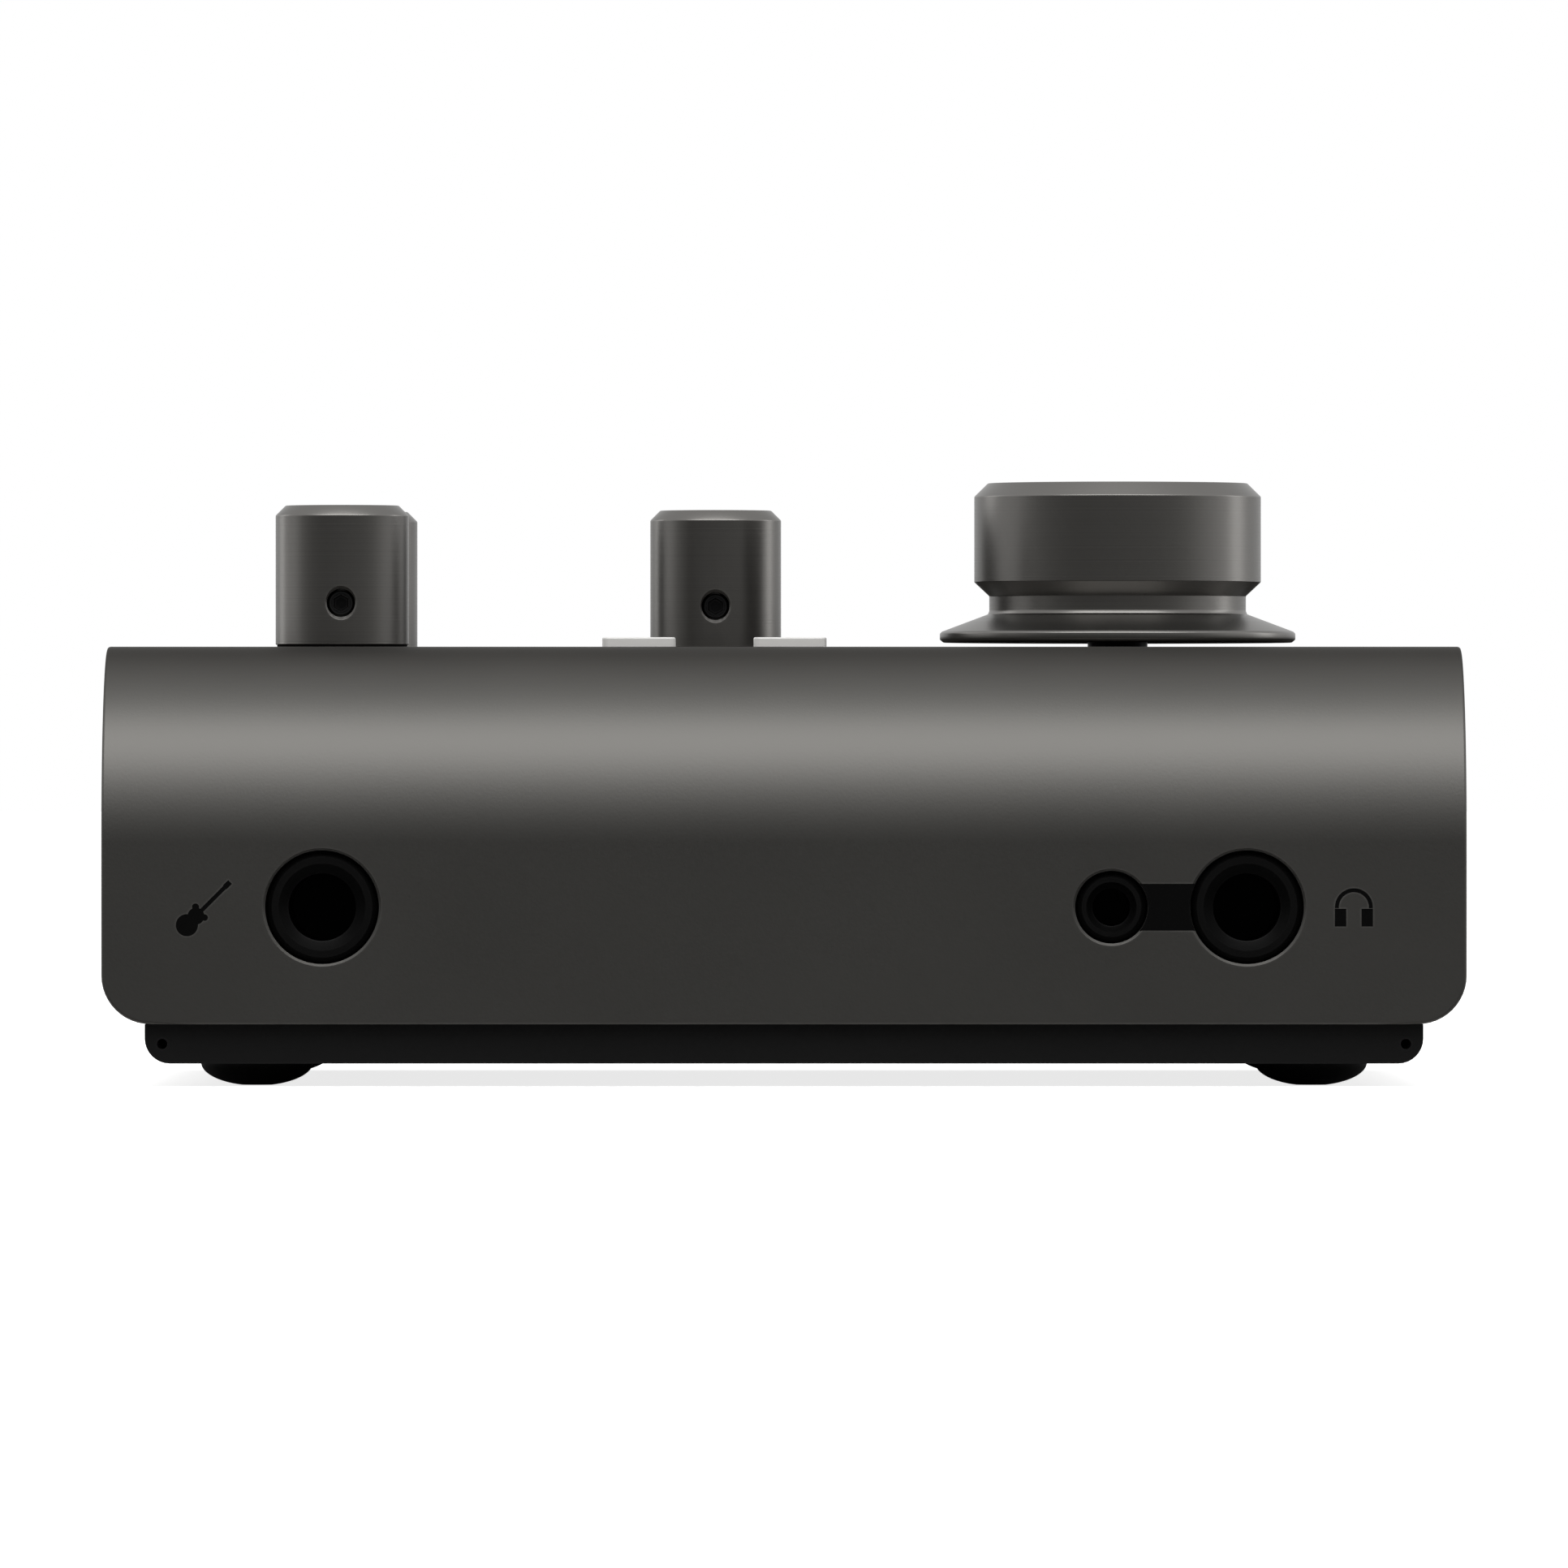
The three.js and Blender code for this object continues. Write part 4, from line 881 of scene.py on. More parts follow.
def turning_group():
    """Fine rings left by the lathe: along the height on the sides, and round the axis on flat faces."""
    group, given, result = new_group("turning", [
        ("Axis Place", "NodeSocketVector", (0, 0, 0)),
        ("Ring Width", "NodeSocketFloat", 0.0002),
    ], [("Rings", "NodeSocketFloat")])
    nodes, links = group.nodes, group.links
    place = added(nodes, "TexCoord")
    shift = added(nodes, "VectorMath", operation="SUBTRACT")
    apart = added(nodes, "SeparateXYZ")
    flat = added(nodes, "CombineXYZ")
    length = added(nodes, "VectorMath", operation="LENGTH")
    total = added(nodes, "Math", operation="ADD")
    scale = added(nodes, "Math", operation="DIVIDE")
    rings = added(nodes, "TexNoise", {"Scale": 1, "Detail": 3}, noise_dimensions="1D")
    wired(links, (place.outputs["Object"], shift.inputs[0]),
          (given.outputs["Axis Place"], shift.inputs[1]),
          (shift.outputs[0], apart.inputs[0]),
          (apart.outputs["X"], flat.inputs["X"]),
          (apart.outputs["Y"], flat.inputs["Y"]),
          (flat.outputs[0], length.inputs[0]),
          (length.outputs["Value"], total.inputs[0]),
          (apart.outputs["Z"], total.inputs[1]),
          (total.outputs[0], scale.inputs[0]),
          (given.outputs["Ring Width"], scale.inputs[1]),
          (scale.outputs[0], rings.inputs["W"]),
          (rings.outputs["Fac"], result.inputs["Rings"]))
    return group


TURNING = turning_group()


def turned_material(name, centre):
    """Anodised aluminium off the lathe, with rings about a piece's own axis."""
    material, nodes, links, shader = principled(name, Metallic=1, Specular_Tint=TURNED_TINT)
    rings = placed_group(nodes, TURNING, Axis_Place=tuple(centre), Ring_Width=RING_WIDTH)
    texture = placed_group(nodes, GRAIN, Grain_Size=0.2 * mm, Cloud_Size=0.012)
    edge = placed_group(nodes, EDGE_WEAR, Amount=0.8)
    ringed = mixed(nodes, links, rings.outputs["Rings"], *shaded(KNOB_COLOUR, 0.84, 1.16))
    clouded = mixed(nodes, links, texture.outputs["Cloud"], ringed, KNOB_COLOUR)
    tinted = mixed(nodes, links, edge.outputs["Edge"], clouded, KNOB_EDGE_COLOUR)
    rough = spread_value(nodes, links, rings.outputs["Rings"], *TURNED_ROUGHNESS)
    normal = bumped(nodes, links, rings.outputs["Rings"], 0.8, RING_DEPTH)
    wired(links, (tinted, shader.inputs["Base Color"]), (rough, shader.inputs["Roughness"]),
          (normal, shader.inputs["Normal"]))
    return material


def pointer_prism(centre, top, low_depth, high_depth):
    """A bar with round ends from near the middle of a knob's top to its front."""
    bar = block("pointer", (centre.x - POINTER_WIDTH / 2, centre.y - POINTER_END, top - low_depth),
                (centre.x + POINTER_WIDTH / 2, centre.y - POINTER_START, top - high_depth))
    rounded_edges(bar, POINTER_WIDTH * ROUND_END, 6,
                  lambda edge: not (runs_along(edge, "x", HAIR) or runs_along(edge, "y", HAIR)))
    return bar


pointer_finish = grained_material("pointer_enamel", POINTER_COLOUR, POINTER_COLOUR, 0.0, (0.35, 0.5),
                                  0.2 * mm, bump=0.004 * mm, wear=0.2)
shade_washer_finish = grained_material("washer_painted_shade", SHADE_WASHER_COLOUR, (0.01, 0.0098, 0.0095, 1), 0.0, (0.85, 0.95),
                               0.12 * mm, bump=0.04 * mm, wear=0.1, gloss=0.05)
for name in KNOBS:
    low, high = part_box(name + "_knob")
    centre = (low + high) / 2
    height = high.z - low.z
    knob = turned("small_knob_" + name, [
        [KNOB_BORE, KNOB_BORE_DEPTH], [KNOB_BORE, 0.3 * mm], [KNOB_BORE + 0.3 * mm, 0], [KNOB_RADIUS, 0],
        [KNOB_RADIUS, height - KNOB_CHAMFER], [KNOB_RADIUS - KNOB_CHAMFER, height],
        [KNOB_RADIUS - KNOB_CHAMFER - 0.5 * mm, height], [1.0 * mm, height - TOP_DISH],
    ], (centre.x, centre.y, low.z), facets=128)
    eased(knob, 0.09 * mm, segments=2)
    cut(knob, round_cutter(SCREW_HOLE, (centre.x, centre.y - KNOB_RADIUS, low.z + SCREW_RISE),
                           TOWARDS_FRONT, ease=0.3 * mm, depth=4 * mm, facets=64))
    cut(knob, pointer_prism(centre, high.z, POINTER_DEPTH + TOP_DISH, -mm))
    smoothed(knob)
    finished(knob, turned_material("turned_" + name, centre), name + "_control", "turned_aluminium",
             name + "_knob")
    pointer = pointer_prism(centre, high.z, POINTER_DEPTH + TOP_DISH, 0.1 * mm)
    pointer.name = pointer.data.name = name + "_pointer"
    finished(pointer, pointer_finish, name + "_control", "frosted_plastic")
    # a black washer from the top up to the knob's underside: painted shade in the gap
    washer = tube(shell_high.z + SHADE_WASHER_GAP, low.z, KNOB_RADIUS - SHADE_WASHER_MARGIN, KNOB_BORE + 2 * SHADE_WASHER_MARGIN,
                  (centre.x, centre.y))
    smoothed(washer)
    washer.name = washer.data.name = name + "_shade_washer"
    finished(washer, shade_washer_finish, name + "_control", "rubber")

# ---- Volume knob ----
# The large knob, turned from one bar: a flange with a rounded rim, a cone up to a neck, and a plain body
# with a chamfered top. A finger dimple lies near its edge, and it is hollow below.

VOLUME_BODY = 14.35 * mm
VOLUME_HEIGHT = 15.95 * mm
VOLUME_HOLLOW, VOLUME_ROOF = 11 * mm, 2.5 * mm
VOLUME_BORE_DEPTH = 12.5 * mm
# radius and height in millimetres, up the outside: the flange's rim, the cone, the neck and the body
VOLUME_OUTLINE = ((17.45, 0), (17.8, 0.3), (17.8, 0.9), (17.6, 1.1), (12.98, 2.84), (12.85, 3.18),
                  (12.85, 4.65), (14.35, 6.05), (14.35, 14.6), (12.98, 15.95), (12.6, 15.95))
VOLUME_SCREW_RISE = 10.2 * mm
DIMPLE_RADIUS = 4.4 * mm
DIMPLE_DEPTH = 0.9 * mm
DIMPLE_REACH = 7.2 * mm
BOWL_STEPS = 16
BOWL_LIP = 12

low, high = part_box("volume_knob")
volume_centre = (low + high) / 2
volume = turned("volume_knob_body", [
    [KNOB_BORE, VOLUME_BORE_DEPTH], [KNOB_BORE, VOLUME_ROOF], [VOLUME_HOLLOW, VOLUME_ROOF],
    [VOLUME_HOLLOW, 0],
    *([radius * mm, height * mm] for radius, height in VOLUME_OUTLINE), [1.0 * mm, VOLUME_HEIGHT - TOP_DISH],
], (volume_centre.x, volume_centre.y, low.z), facets=192)
eased(volume, 0.07 * mm, segments=2, angle=20)
screw_mouth = (volume_centre.x, volume_centre.y + VOLUME_BODY, low.z + VOLUME_SCREW_RISE)
cut(volume, round_cutter(SCREW_HOLE, screw_mouth, TOWARDS_REAR, ease=0.3 * mm, depth=12 * mm, facets=64))


def bowl_cutter(x, y, top, radius, depth):
    """A shallow round hollow let into a face at a height."""
    sphere = (radius ** 2 + depth ** 2) / (2 * depth)
    reach = math.asin(radius / sphere)
    points = []
    for step in range(1, BOWL_STEPS + 1):
        angle = reach * step / BOWL_STEPS
        points.append([sphere * math.sin(angle), sphere * (1 - math.cos(angle)) - depth])
    lip = radius / BOWL_LIP
    return turned("cutter", [*points, [radius + lip, lip * 0.35], [radius + lip, mm]], (x, y, top))


cut(volume, bowl_cutter(volume_centre.x, volume_centre.y - DIMPLE_REACH, high.z - TOP_DISH / 2, DIMPLE_RADIUS,
                        DIMPLE_DEPTH))
smoothed(volume)
finished(volume, turned_material("turned_volume", volume_centre), "volume_control", "turned_aluminium",
         "volume_knob")

# ---- Shafts and set screws ----
# Ground steel control shafts inside the knobs, the encoder's in the black screw finish as painted shade
# where it stands in the volume knob's shadow, and the cup-point screws with hexagon sockets that clamp
# the knobs to them.

SHAFT_COLOUR = (0.20, 0.195, 0.19, 1)
SHAFT_RADIUS = 3 * mm
SOCKET_RADIUS = 0.75 * mm
SOCKET_LIP = 0.15 * mm
SET_SCREW_RADIUS = 1.25 * mm
SET_SCREW_ROOT = 0.2 * mm
SET_SCREW_CHAMFER = 0.12 * mm

shaft_finish = grained_material("ground_steel", SHAFT_COLOUR, (0.4, 0.39, 0.38, 1), 1.0, (0.22, 0.34),
                                0.15 * mm, bump=0.004 * mm, wear=0.5)
shafts = {name + "_shaft": name + "_control" for name in KNOBS}
shafts["encoder_shaft"] = "volume_control"
for node, body in shafts.items():
    low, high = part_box(node)
    centre = (low + high) / 2
    shaft = turned(node + "_ground", [
        [SHAFT_RADIUS - 0.4 * mm, low.z], [SHAFT_RADIUS, low.z + 0.4 * mm], [SHAFT_RADIUS, high.z - 0.5 * mm],
        [SHAFT_RADIUS - 0.5 * mm, high.z],
    ], (centre.x, centre.y, 0), facets=64)
    smoothed(shaft)
    # the encoder shaft takes the black screw finish: painted shade under the volume knob
    finished(shaft, black_screw_and_shade_finish if node == "encoder_shaft" else shaft_finish, body, "plain_steel", node)
for name in KNOBS + ("volume",):
    node = name + "_set_screw"
    low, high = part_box(node)
    centre = (low + high) / 2
    length = high.y - low.y
    points = [[0.7 * mm, -length + 0.25 * mm], [0.95 * mm, -length]]
    for turn in range(int(length / THREAD_PITCH) - 1, 0, -1):
        points += [[SET_SCREW_RADIUS, -turn * THREAD_PITCH],
                   [SET_SCREW_RADIUS - SET_SCREW_ROOT, -(turn - 0.5) * THREAD_PITCH]]
    points += [[SET_SCREW_RADIUS, -SET_SCREW_CHAMFER], [SET_SCREW_RADIUS - SET_SCREW_CHAMFER, 0]]
    grub = turned(name + "_grub_screw", points, facets=36)
    cut(grub, turned("cutter", [
        [SOCKET_RADIUS, -1.3 * mm], [SOCKET_RADIUS, -0.1 * mm], [SOCKET_RADIUS + SOCKET_LIP, 0.05 * mm],
        [SOCKET_RADIUS + SOCKET_LIP, mm],
    ], facets=6))
    smoothed(grub, 40)
    if name == "volume":
        settled(grub, (centre.x, high.y, centre.z), TOWARDS_REAR)
    else:
        settled(grub, (centre.x, low.y, centre.z), TOWARDS_FRONT)
    finished(grub, black_screw_and_shade_finish, name + "_control", "black_screw", node)

# ---- Push button caps ----
# Two square caps in satin silver, standing a millimetre above the top. Each has a retaining flange under
# the shell and a stem down to its switch.

CAP_COLOUR = (0.82, 0.81, 0.79, 1)
CAP_EDGE_COLOUR = (0.88, 0.87, 0.85, 1)
CAP_METALLIC = 0.12
CAP_HALF = 3.625 * mm
CAP_SINK = 0.5 * mm
CAP_CORNER = 0.7 * mm
CAP_FLANGE = 1.0 * mm
CAP_FLANGE_TOP = 40.1 * mm
CAP_FLANGE_THICKNESS = 1.1 * mm
CAP_STEM = 2.0 * mm
CAP_DISH = 0.16 * mm
CAP_DISH_RADIUS = 2.9 * mm

cap_finish = grained_material("satin_cap", CAP_COLOUR, CAP_EDGE_COLOUR, CAP_METALLIC, (0.34, 0.44), 0.15 * mm,
                              bump=0.006 * mm, wear=0.8)


def squared(low, high, corner, name="cap"):
    """A block with rounded upright corners."""
    piece = block(name, low, high)
    rounded_edges(piece, corner, 8, lambda edge: runs_along(edge, "z", 0.9 * mm))
    return piece


for name in BUTTONS:
    low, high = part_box(name + "_button_cap")
    centre = (low + high) / 2
    cap = squared((centre.x - CAP_HALF, centre.y - CAP_HALF, CAP_FLANGE_TOP - CAP_SINK),
                  (centre.x + CAP_HALF, centre.y + CAP_HALF, high.z), CAP_CORNER)
    eased(cap, 0.16 * mm, segments=4, angle=40)
    cut(cap, bowl_cutter(centre.x, centre.y, high.z, CAP_DISH_RADIUS, CAP_DISH))
    reach = CAP_HALF + CAP_FLANGE
    united(cap, squared((centre.x - reach, centre.y - reach, CAP_FLANGE_TOP - CAP_FLANGE_THICKNESS),
                        (centre.x + reach, centre.y + reach, CAP_FLANGE_TOP), CAP_CORNER))
    united(cap, turned("stem", [
        [CAP_STEM - 0.2 * mm, low.z], [CAP_STEM, low.z + 0.2 * mm], [CAP_STEM, CAP_FLANGE_TOP - CAP_SINK],
    ], (centre.x, centre.y, 0), facets=40))
    smoothed(cap)
    cap.name = cap.data.name = name + "_cap"
    finished(cap, cap_finish, name + "_button", "satin_aluminium", name + "_button_cap")

# ---- Level windows ----
# One moulded light guide under the top: a clear block over the lamps, with a post up to each of the
# twelve windows. The posts end in small frosted domes.

WINDOW_COLOUR = (0.42, 0.45, 0.43, 1)
WINDOW_RADIUS = 1.1 * mm
GUIDE_TOP = 40.2 * mm
GUIDE_CORNER = 0.8 * mm

window_finish = grained_material("frosted_window", WINDOW_COLOUR, (0.55, 0.56, 0.55, 1), 0.0, (0.3, 0.42),
                                 0.2 * mm, bump=0.008 * mm, wear=0.2)
guide = squared(guide_low, (guide_high.x, guide_high.y, GUIDE_TOP), GUIDE_CORNER, "guide")
for x, y in windows:
    united(guide, turned("post", [
        [WINDOW_RADIUS, GUIDE_TOP - 0.5 * mm], [WINDOW_RADIUS, guide_high.z - 0.3 * mm],
        [0.85 * WINDOW_RADIUS, guide_high.z - 0.1 * mm], [0.5 * WINDOW_RADIUS, guide_high.z],
    ], (x, y, 0), facets=32))
smoothed(guide, 40)
guide.name = guide.data.name = "light_guide"
finished(guide, window_finish, "chassis", "frosted_plastic", "meter_light_guide")

# ---- Jacks ----
# Board-mounted jacks moulded in black plastic. Each nose passes through the case wall, with a chamfered
# rim and a funnel that leads the plug into the bore.

PLASTIC_COLOUR = (0.0018, 0.0018, 0.0018, 1)
PLASTIC_EDGE_COLOUR = (0.007, 0.007, 0.007, 1)
BORE_FLOOR = 1.2 * mm
RIM_CHAMFER = 0.40 * mm
FUNNEL_DEPTH = 1.0 * mm
FRONT_NOSE, REAR_NOSE = 2.4 * mm, 1.9 * mm

plastic_finish = grained_material("black_plastic", PLASTIC_COLOUR, PLASTIC_EDGE_COLOUR, 0.0, (0.34, 0.48),
                                  0.3 * mm, bump=0.01 * mm, wear=0.4, gloss=0.11)


def jack(name, nose, funnel, bore, nose_length, width, depth, height):
    """A jack with the middle of its face at the origin, facing +Z."""
    piece = block(name, (-width / 2, -height / 2, -nose_length - depth),
                  (width / 2, height / 2, -nose_length))
    eased(piece, 0.4 * mm)
    rim = nose - RIM_CHAMFER
    united(piece, turned("nose", [[nose, -nose_length - mm], [nose, -RIM_CHAMFER], [rim, 0]]))
    cut(piece, turned("cutter", [
        [bore, BORE_FLOOR - nose_length - depth], [bore, -FUNNEL_DEPTH - 0.1 * mm],
        [bore + 0.12 * mm, -FUNNEL_DEPTH], [funnel, 0], [funnel + 0.1 * mm, 0.5 * mm],
    ]))
    smoothed(piece, 30)
    return piece


BIG_JACK = {"nose": 5.3 * mm, "funnel": 4.25 * mm, "bore": 3.3 * mm, "width": 15.5 * mm, "depth": 22 * mm,
            "height": 13 * mm}
SMALL_JACK = {"nose": 3.3 * mm, "funnel": 2.45 * mm, "bore": 1.85 * mm, "width": 8 * mm, "depth": 14 * mm,
              "height": 11 * mm}
LINE_OUTS = ("line_out_jack_1", "line_out_jack_2")
for node, kind, nose_length, direction in (
    ("instrument_jack", BIG_JACK, FRONT_NOSE, TOWARDS_FRONT),
    ("headphone_jack_large", BIG_JACK, FRONT_NOSE, TOWARDS_FRONT),
    ("headphone_jack_small", SMALL_JACK, FRONT_NOSE, TOWARDS_FRONT),
    (LINE_OUTS[0], BIG_JACK, REAR_NOSE, TOWARDS_REAR),
    (LINE_OUTS[1], BIG_JACK, REAR_NOSE, TOWARDS_REAR),
):
    low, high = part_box(node)
    face_y = low.y if direction == TOWARDS_FRONT else high.y
    fitted = jack(node + "_moulding", nose_length=nose_length, **kind)
    settled(fitted, ((low.x + high.x) / 2, face_y, JACK_HEIGHT), direction)
    finished(fitted, plastic_finish, "chassis", "black_plastic", node)

# ---- Rear panel ----
# A folded-steel plate, powder coated black, across the open rear. It is narrower at the bottom, between
# the shell's lands. Plain numbers are printed over the two line outputs.

PANEL_LOW, PANEL_STEP, PANEL_HIGH = 3.75 * mm, 8.9 * mm, 40.2 * mm
PANEL_WIDE, PANEL_NARROW = 63.7 * mm, 59.2 * mm
SOCKET_GAP = 0.25 * mm
LABEL_HEIGHT = 3.2 * mm
LABEL_RISE = 27.6 * mm
LABEL_COLOUR = (0.40, 0.40, 0.39, 1)
LABEL_DEPTH = 0.02 * mm
MIC_COLLAR = 12 * mm
USB_HOLE_WIDTH, USB_HOLE_HEIGHT = 9.6 * mm, 3.9 * mm
STADIUM_END = 0.44

panel = block("panel", (-PANEL_WIDE, panel_low.y, PANEL_STEP), (PANEL_WIDE, panel_high.y, PANEL_HIGH))
united(panel, block("panel", (-PANEL_NARROW, panel_low.y, PANEL_LOW),
                    (PANEL_NARROW, panel_high.y, PANEL_STEP + 5 * mm)))


def panel_hole(x, z, radius):
    cut(panel, round_cutter(radius, (x, panel_high.y, z), TOWARDS_REAR, ease=0.12 * mm))


def stadium(name, x, z, width, height, y_low, y_high):
    """A bar along Y with round ends."""
    piece = block(name, (x - width / 2, y_low, z - height / 2), (x + width / 2, y_high, z + height / 2))
    rounded_edges(piece, height * STADIUM_END, 10, lambda edge: runs_along(edge, "y", 0.5 * (y_high - y_low)))
    return piece


mic_low, mic_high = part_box("mic_input_socket")
mic_x, mic_z = (mic_low.x + mic_high.x) / 2, (mic_low.z + mic_high.z) / 2
usb_low, usb_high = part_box("usb_socket")
usb_x, usb_z = (usb_low.x + usb_high.x) / 2, (usb_low.z + usb_high.z) / 2
panel_hole(mic_x, mic_z, MIC_COLLAR + SOCKET_GAP)
for node in LINE_OUTS:
    panel_hole(middle_of(node).x, JACK_HEIGHT, BIG_JACK["nose"] + SOCKET_GAP)
for node in ("panel_screw_left", "panel_screw_right"):
    panel_hole(middle_of(node).x, middle_of(node).z, THREAD_HOLE)
cut(panel, stadium("cutter", usb_x, usb_z, USB_HOLE_WIDTH, USB_HOLE_HEIGHT, panel_low.y - mm,
                   panel_high.y + mm))
eased(panel, 0.12 * mm, segments=2, angle=50)
smoothed(panel)
panel.name = panel.data.name = "panel_plate"
finished(panel, steel_finish, "chassis", "black_steel", "rear_panel")

label_finish = grained_material("grey_print", LABEL_COLOUR, LABEL_COLOUR, 0.0, (0.5, 0.6), 0.2 * mm,
                                bump=0.003 * mm, wear=0.2)
for number, node in zip("12", LINE_OUTS):
    bpy.ops.object.select_all(action="DESELECT")
    bpy.ops.object.text_add()
    label = bpy.context.object
    label.data.body = number
    label.data.size = LABEL_HEIGHT
    label.data.align_x = "CENTER"
    label.data.extrude = LABEL_DEPTH
    bpy.ops.object.convert(target="MESH")
    settled(label, (middle_of(node).x, panel_high.y + LABEL_DEPTH, LABEL_RISE), (math.pi / 2, 0, math.pi))
    label.name = label.data.name = "output_number_" + number
    finished(label, label_finish, "chassis", "frosted_plastic")

# ---- Microphone socket ----
# A combined microphone and jack socket: a black moulded collar, a ring groove for the plug's shell, and
# an insert with three contact holes round a jack bore. The contacts are gold-plated sleeves.

MIC_GROOVE, MIC_INSERT = 9.9 * mm, 7.8 * mm
MIC_GROOVE_DEPTH = 11 * mm
MIC_FACE_RECESS = 0.6 * mm
MIC_PIN, MIC_PIN_CIRCLE, MIC_PIN_DEPTH = 1.25 * mm, 5.6 * mm, 9 * mm
MIC_BODY_REAR = 55.5 * mm
MIC_KEY_HALF = 1.0 * mm
MIC_BORE, MIC_FUNNEL = 3.3 * mm, 4.0 * mm
SLEEVE_OUTER, SLEEVE_INNER = 1.15 * mm, 0.78 * mm
CONTACT_COLOUR = (0.60, 0.46, 0.22, 1)

collar_length = mic_high.y - MIC_BODY_REAR
mic = block("mic", (mic_low.x - mic_x, mic_low.z - mic_z, -(mic_high.y - mic_low.y)),
            (mic_high.x - mic_x, mic_high.z - mic_z, -collar_length))
eased(mic, 0.5 * mm)
united(mic, turned("collar", [[MIC_COLLAR, -collar_length - mm], [MIC_COLLAR, -0.7 * mm],
                              [MIC_COLLAR - 0.25 * mm, -0.25 * mm], [MIC_COLLAR - 0.7 * mm, 0]], facets=128))
cut(mic, turned("cutter", [
    [MIC_GROOVE, -MIC_GROOVE_DEPTH], [MIC_GROOVE, -0.5 * mm], [MIC_GROOVE + 0.5 * mm, 0],
    [MIC_GROOVE + mm, 0.5 * mm],
], facets=128))
united(mic, turned("insert", [
    [MIC_INSERT, -MIC_GROOVE_DEPTH - 0.5 * mm], [MIC_INSERT, -MIC_FACE_RECESS - 0.4 * mm],
    [MIC_INSERT - 0.4 * mm, -MIC_FACE_RECESS],
]))
united(mic, block("key", (-MIC_KEY_HALF, MIC_INSERT + 0.9 * mm, -MIC_GROOVE_DEPTH - 0.5 * mm),
                  (MIC_KEY_HALF, MIC_GROOVE + 0.5 * mm, -2.2 * mm)))
cut(mic, turned("cutter", [
    [MIC_BORE, BORE_FLOOR - (mic_high.y - mic_low.y)], [MIC_BORE, -1.5 * mm], [MIC_FUNNEL, -MIC_FACE_RECESS],
    [4.4 * mm, 0.1 * mm],
]))
pins = [(MIC_PIN_CIRCLE * math.cos(math.radians(angle)), MIC_PIN_CIRCLE * math.sin(math.radians(angle)))
        for angle in (180, 90, 0)]
for x, z in pins:
    cut(mic, turned("cutter", [
        [MIC_PIN, -MIC_FACE_RECESS - MIC_PIN_DEPTH], [MIC_PIN, -MIC_FACE_RECESS - 0.3 * mm],
        [MIC_PIN + 0.3 * mm, -MIC_FACE_RECESS], [MIC_PIN + 0.3 * mm, mm],
    ], (x, z, 0), facets=40))
smoothed(mic)
settled(mic, (mic_x, mic_high.y, mic_z), TOWARDS_REAR)
mic.name = mic.data.name = "mic_socket_moulding"
finished(mic, plastic_finish, "chassis", "black_plastic", "mic_input_socket")

contact_finish = grained_material("gold_contact", CONTACT_COLOUR, (0.8, 0.65, 0.36, 1), 1.0, (0.2, 0.32),
                                  0.15 * mm, bump=0.004 * mm, wear=0.5)
sleeve_low = -MIC_FACE_RECESS - MIC_PIN_DEPTH + 0.5 * mm
for number, (x, z) in enumerate(pins, 1):
    sleeve = turned("mic_contact_%d" % number, [
        [SLEEVE_OUTER, sleeve_low], [SLEEVE_OUTER, -MIC_FACE_RECESS - 0.75 * mm],
        [0.95 * mm, -MIC_FACE_RECESS - 0.6 * mm],
    ], (x, z, 0), facets=32)
    cut(sleeve, turned("cutter", [[SLEEVE_INNER, sleeve_low + mm], [SLEEVE_INNER, 0]], (x, z, 0), facets=24))
    smoothed(sleeve)
    settled(sleeve, (mic_x, mic_high.y, mic_z), TOWARDS_REAR)
    finished(sleeve, contact_finish, "chassis", "plain_steel")

# ---- USB socket ----
# A drawn stainless shell with round ends, soldered to the board, round a black tongue with a row of gold
# contacts on each side.

USB_WALL = 0.35 * mm
USB_TONGUE_WIDTH, USB_TONGUE_HEIGHT = 6.7 * mm, 0.7 * mm
USB_TONGUE_RECESS = 1.0 * mm
USB_CONTACTS = 6
USB_PITCH = 1.0 * mm
USB_PAD_HALF, USB_PAD_RISE = 0.14 * mm, 0.03 * mm


def joined_pieces(name, pieces):
    activate(pieces[0])
    for piece in pieces[1:]:
        piece.select_set(True)
    bpy.ops.object.join()
    pieces[0].name = pieces[0].data.name = name
    return pieces[0]


usb_width, usb_height = usb_high.x - usb_low.x, usb_high.z - usb_low.z
usb = stadium("usb_shell", usb_x, usb_z, usb_width, usb_height, usb_low.y, usb_high.y)
cut(usb, stadium("cutter", usb_x, usb_z, usb_width - 2 * USB_WALL, usb_height - 2 * USB_WALL,
                 usb_low.y + BORE_FLOOR, usb_high.y + mm))
eased(usb, 0.08 * mm, segments=2, angle=50)
smoothed(usb)
finished(usb, bright_finish, "chassis", "plain_steel", "usb_socket")
tongue_x, tongue_z = USB_TONGUE_WIDTH / 2, USB_TONGUE_HEIGHT / 2
tongue_y = usb_high.y - USB_TONGUE_RECESS
tongue = block("usb_tongue", (usb_x - tongue_x, usb_low.y + BORE_FLOOR / 2, usb_z - tongue_z),
               (usb_x + tongue_x, tongue_y, usb_z + tongue_z))
eased(tongue, 0.15 * mm)
smoothed(tongue)
finished(tongue, plastic_finish, "chassis", "black_plastic")
pads = []
for index in range(USB_CONTACTS):
    x = usb_x + (index - (USB_CONTACTS - 1) / 2) * USB_PITCH
    pad = block("pad", (x - USB_PAD_HALF, tongue_y - 4.6 * mm, usb_z - tongue_z - USB_PAD_RISE),
                (x + USB_PAD_HALF, tongue_y - 0.6 * mm, usb_z + tongue_z + USB_PAD_RISE))
    eased(pad, 0.02 * mm, segments=1)
    pads.append(pad)
finished(joined_pieces("usb_contacts", pads), contact_finish, "chassis", "plain_steel")

# ---- Circuit boards ----
# Two boards of glass laminate under dark green mask: the main board on the tray's standoffs, and the
# control board hung under the top. The copper tracks show through as slightly paler lines.

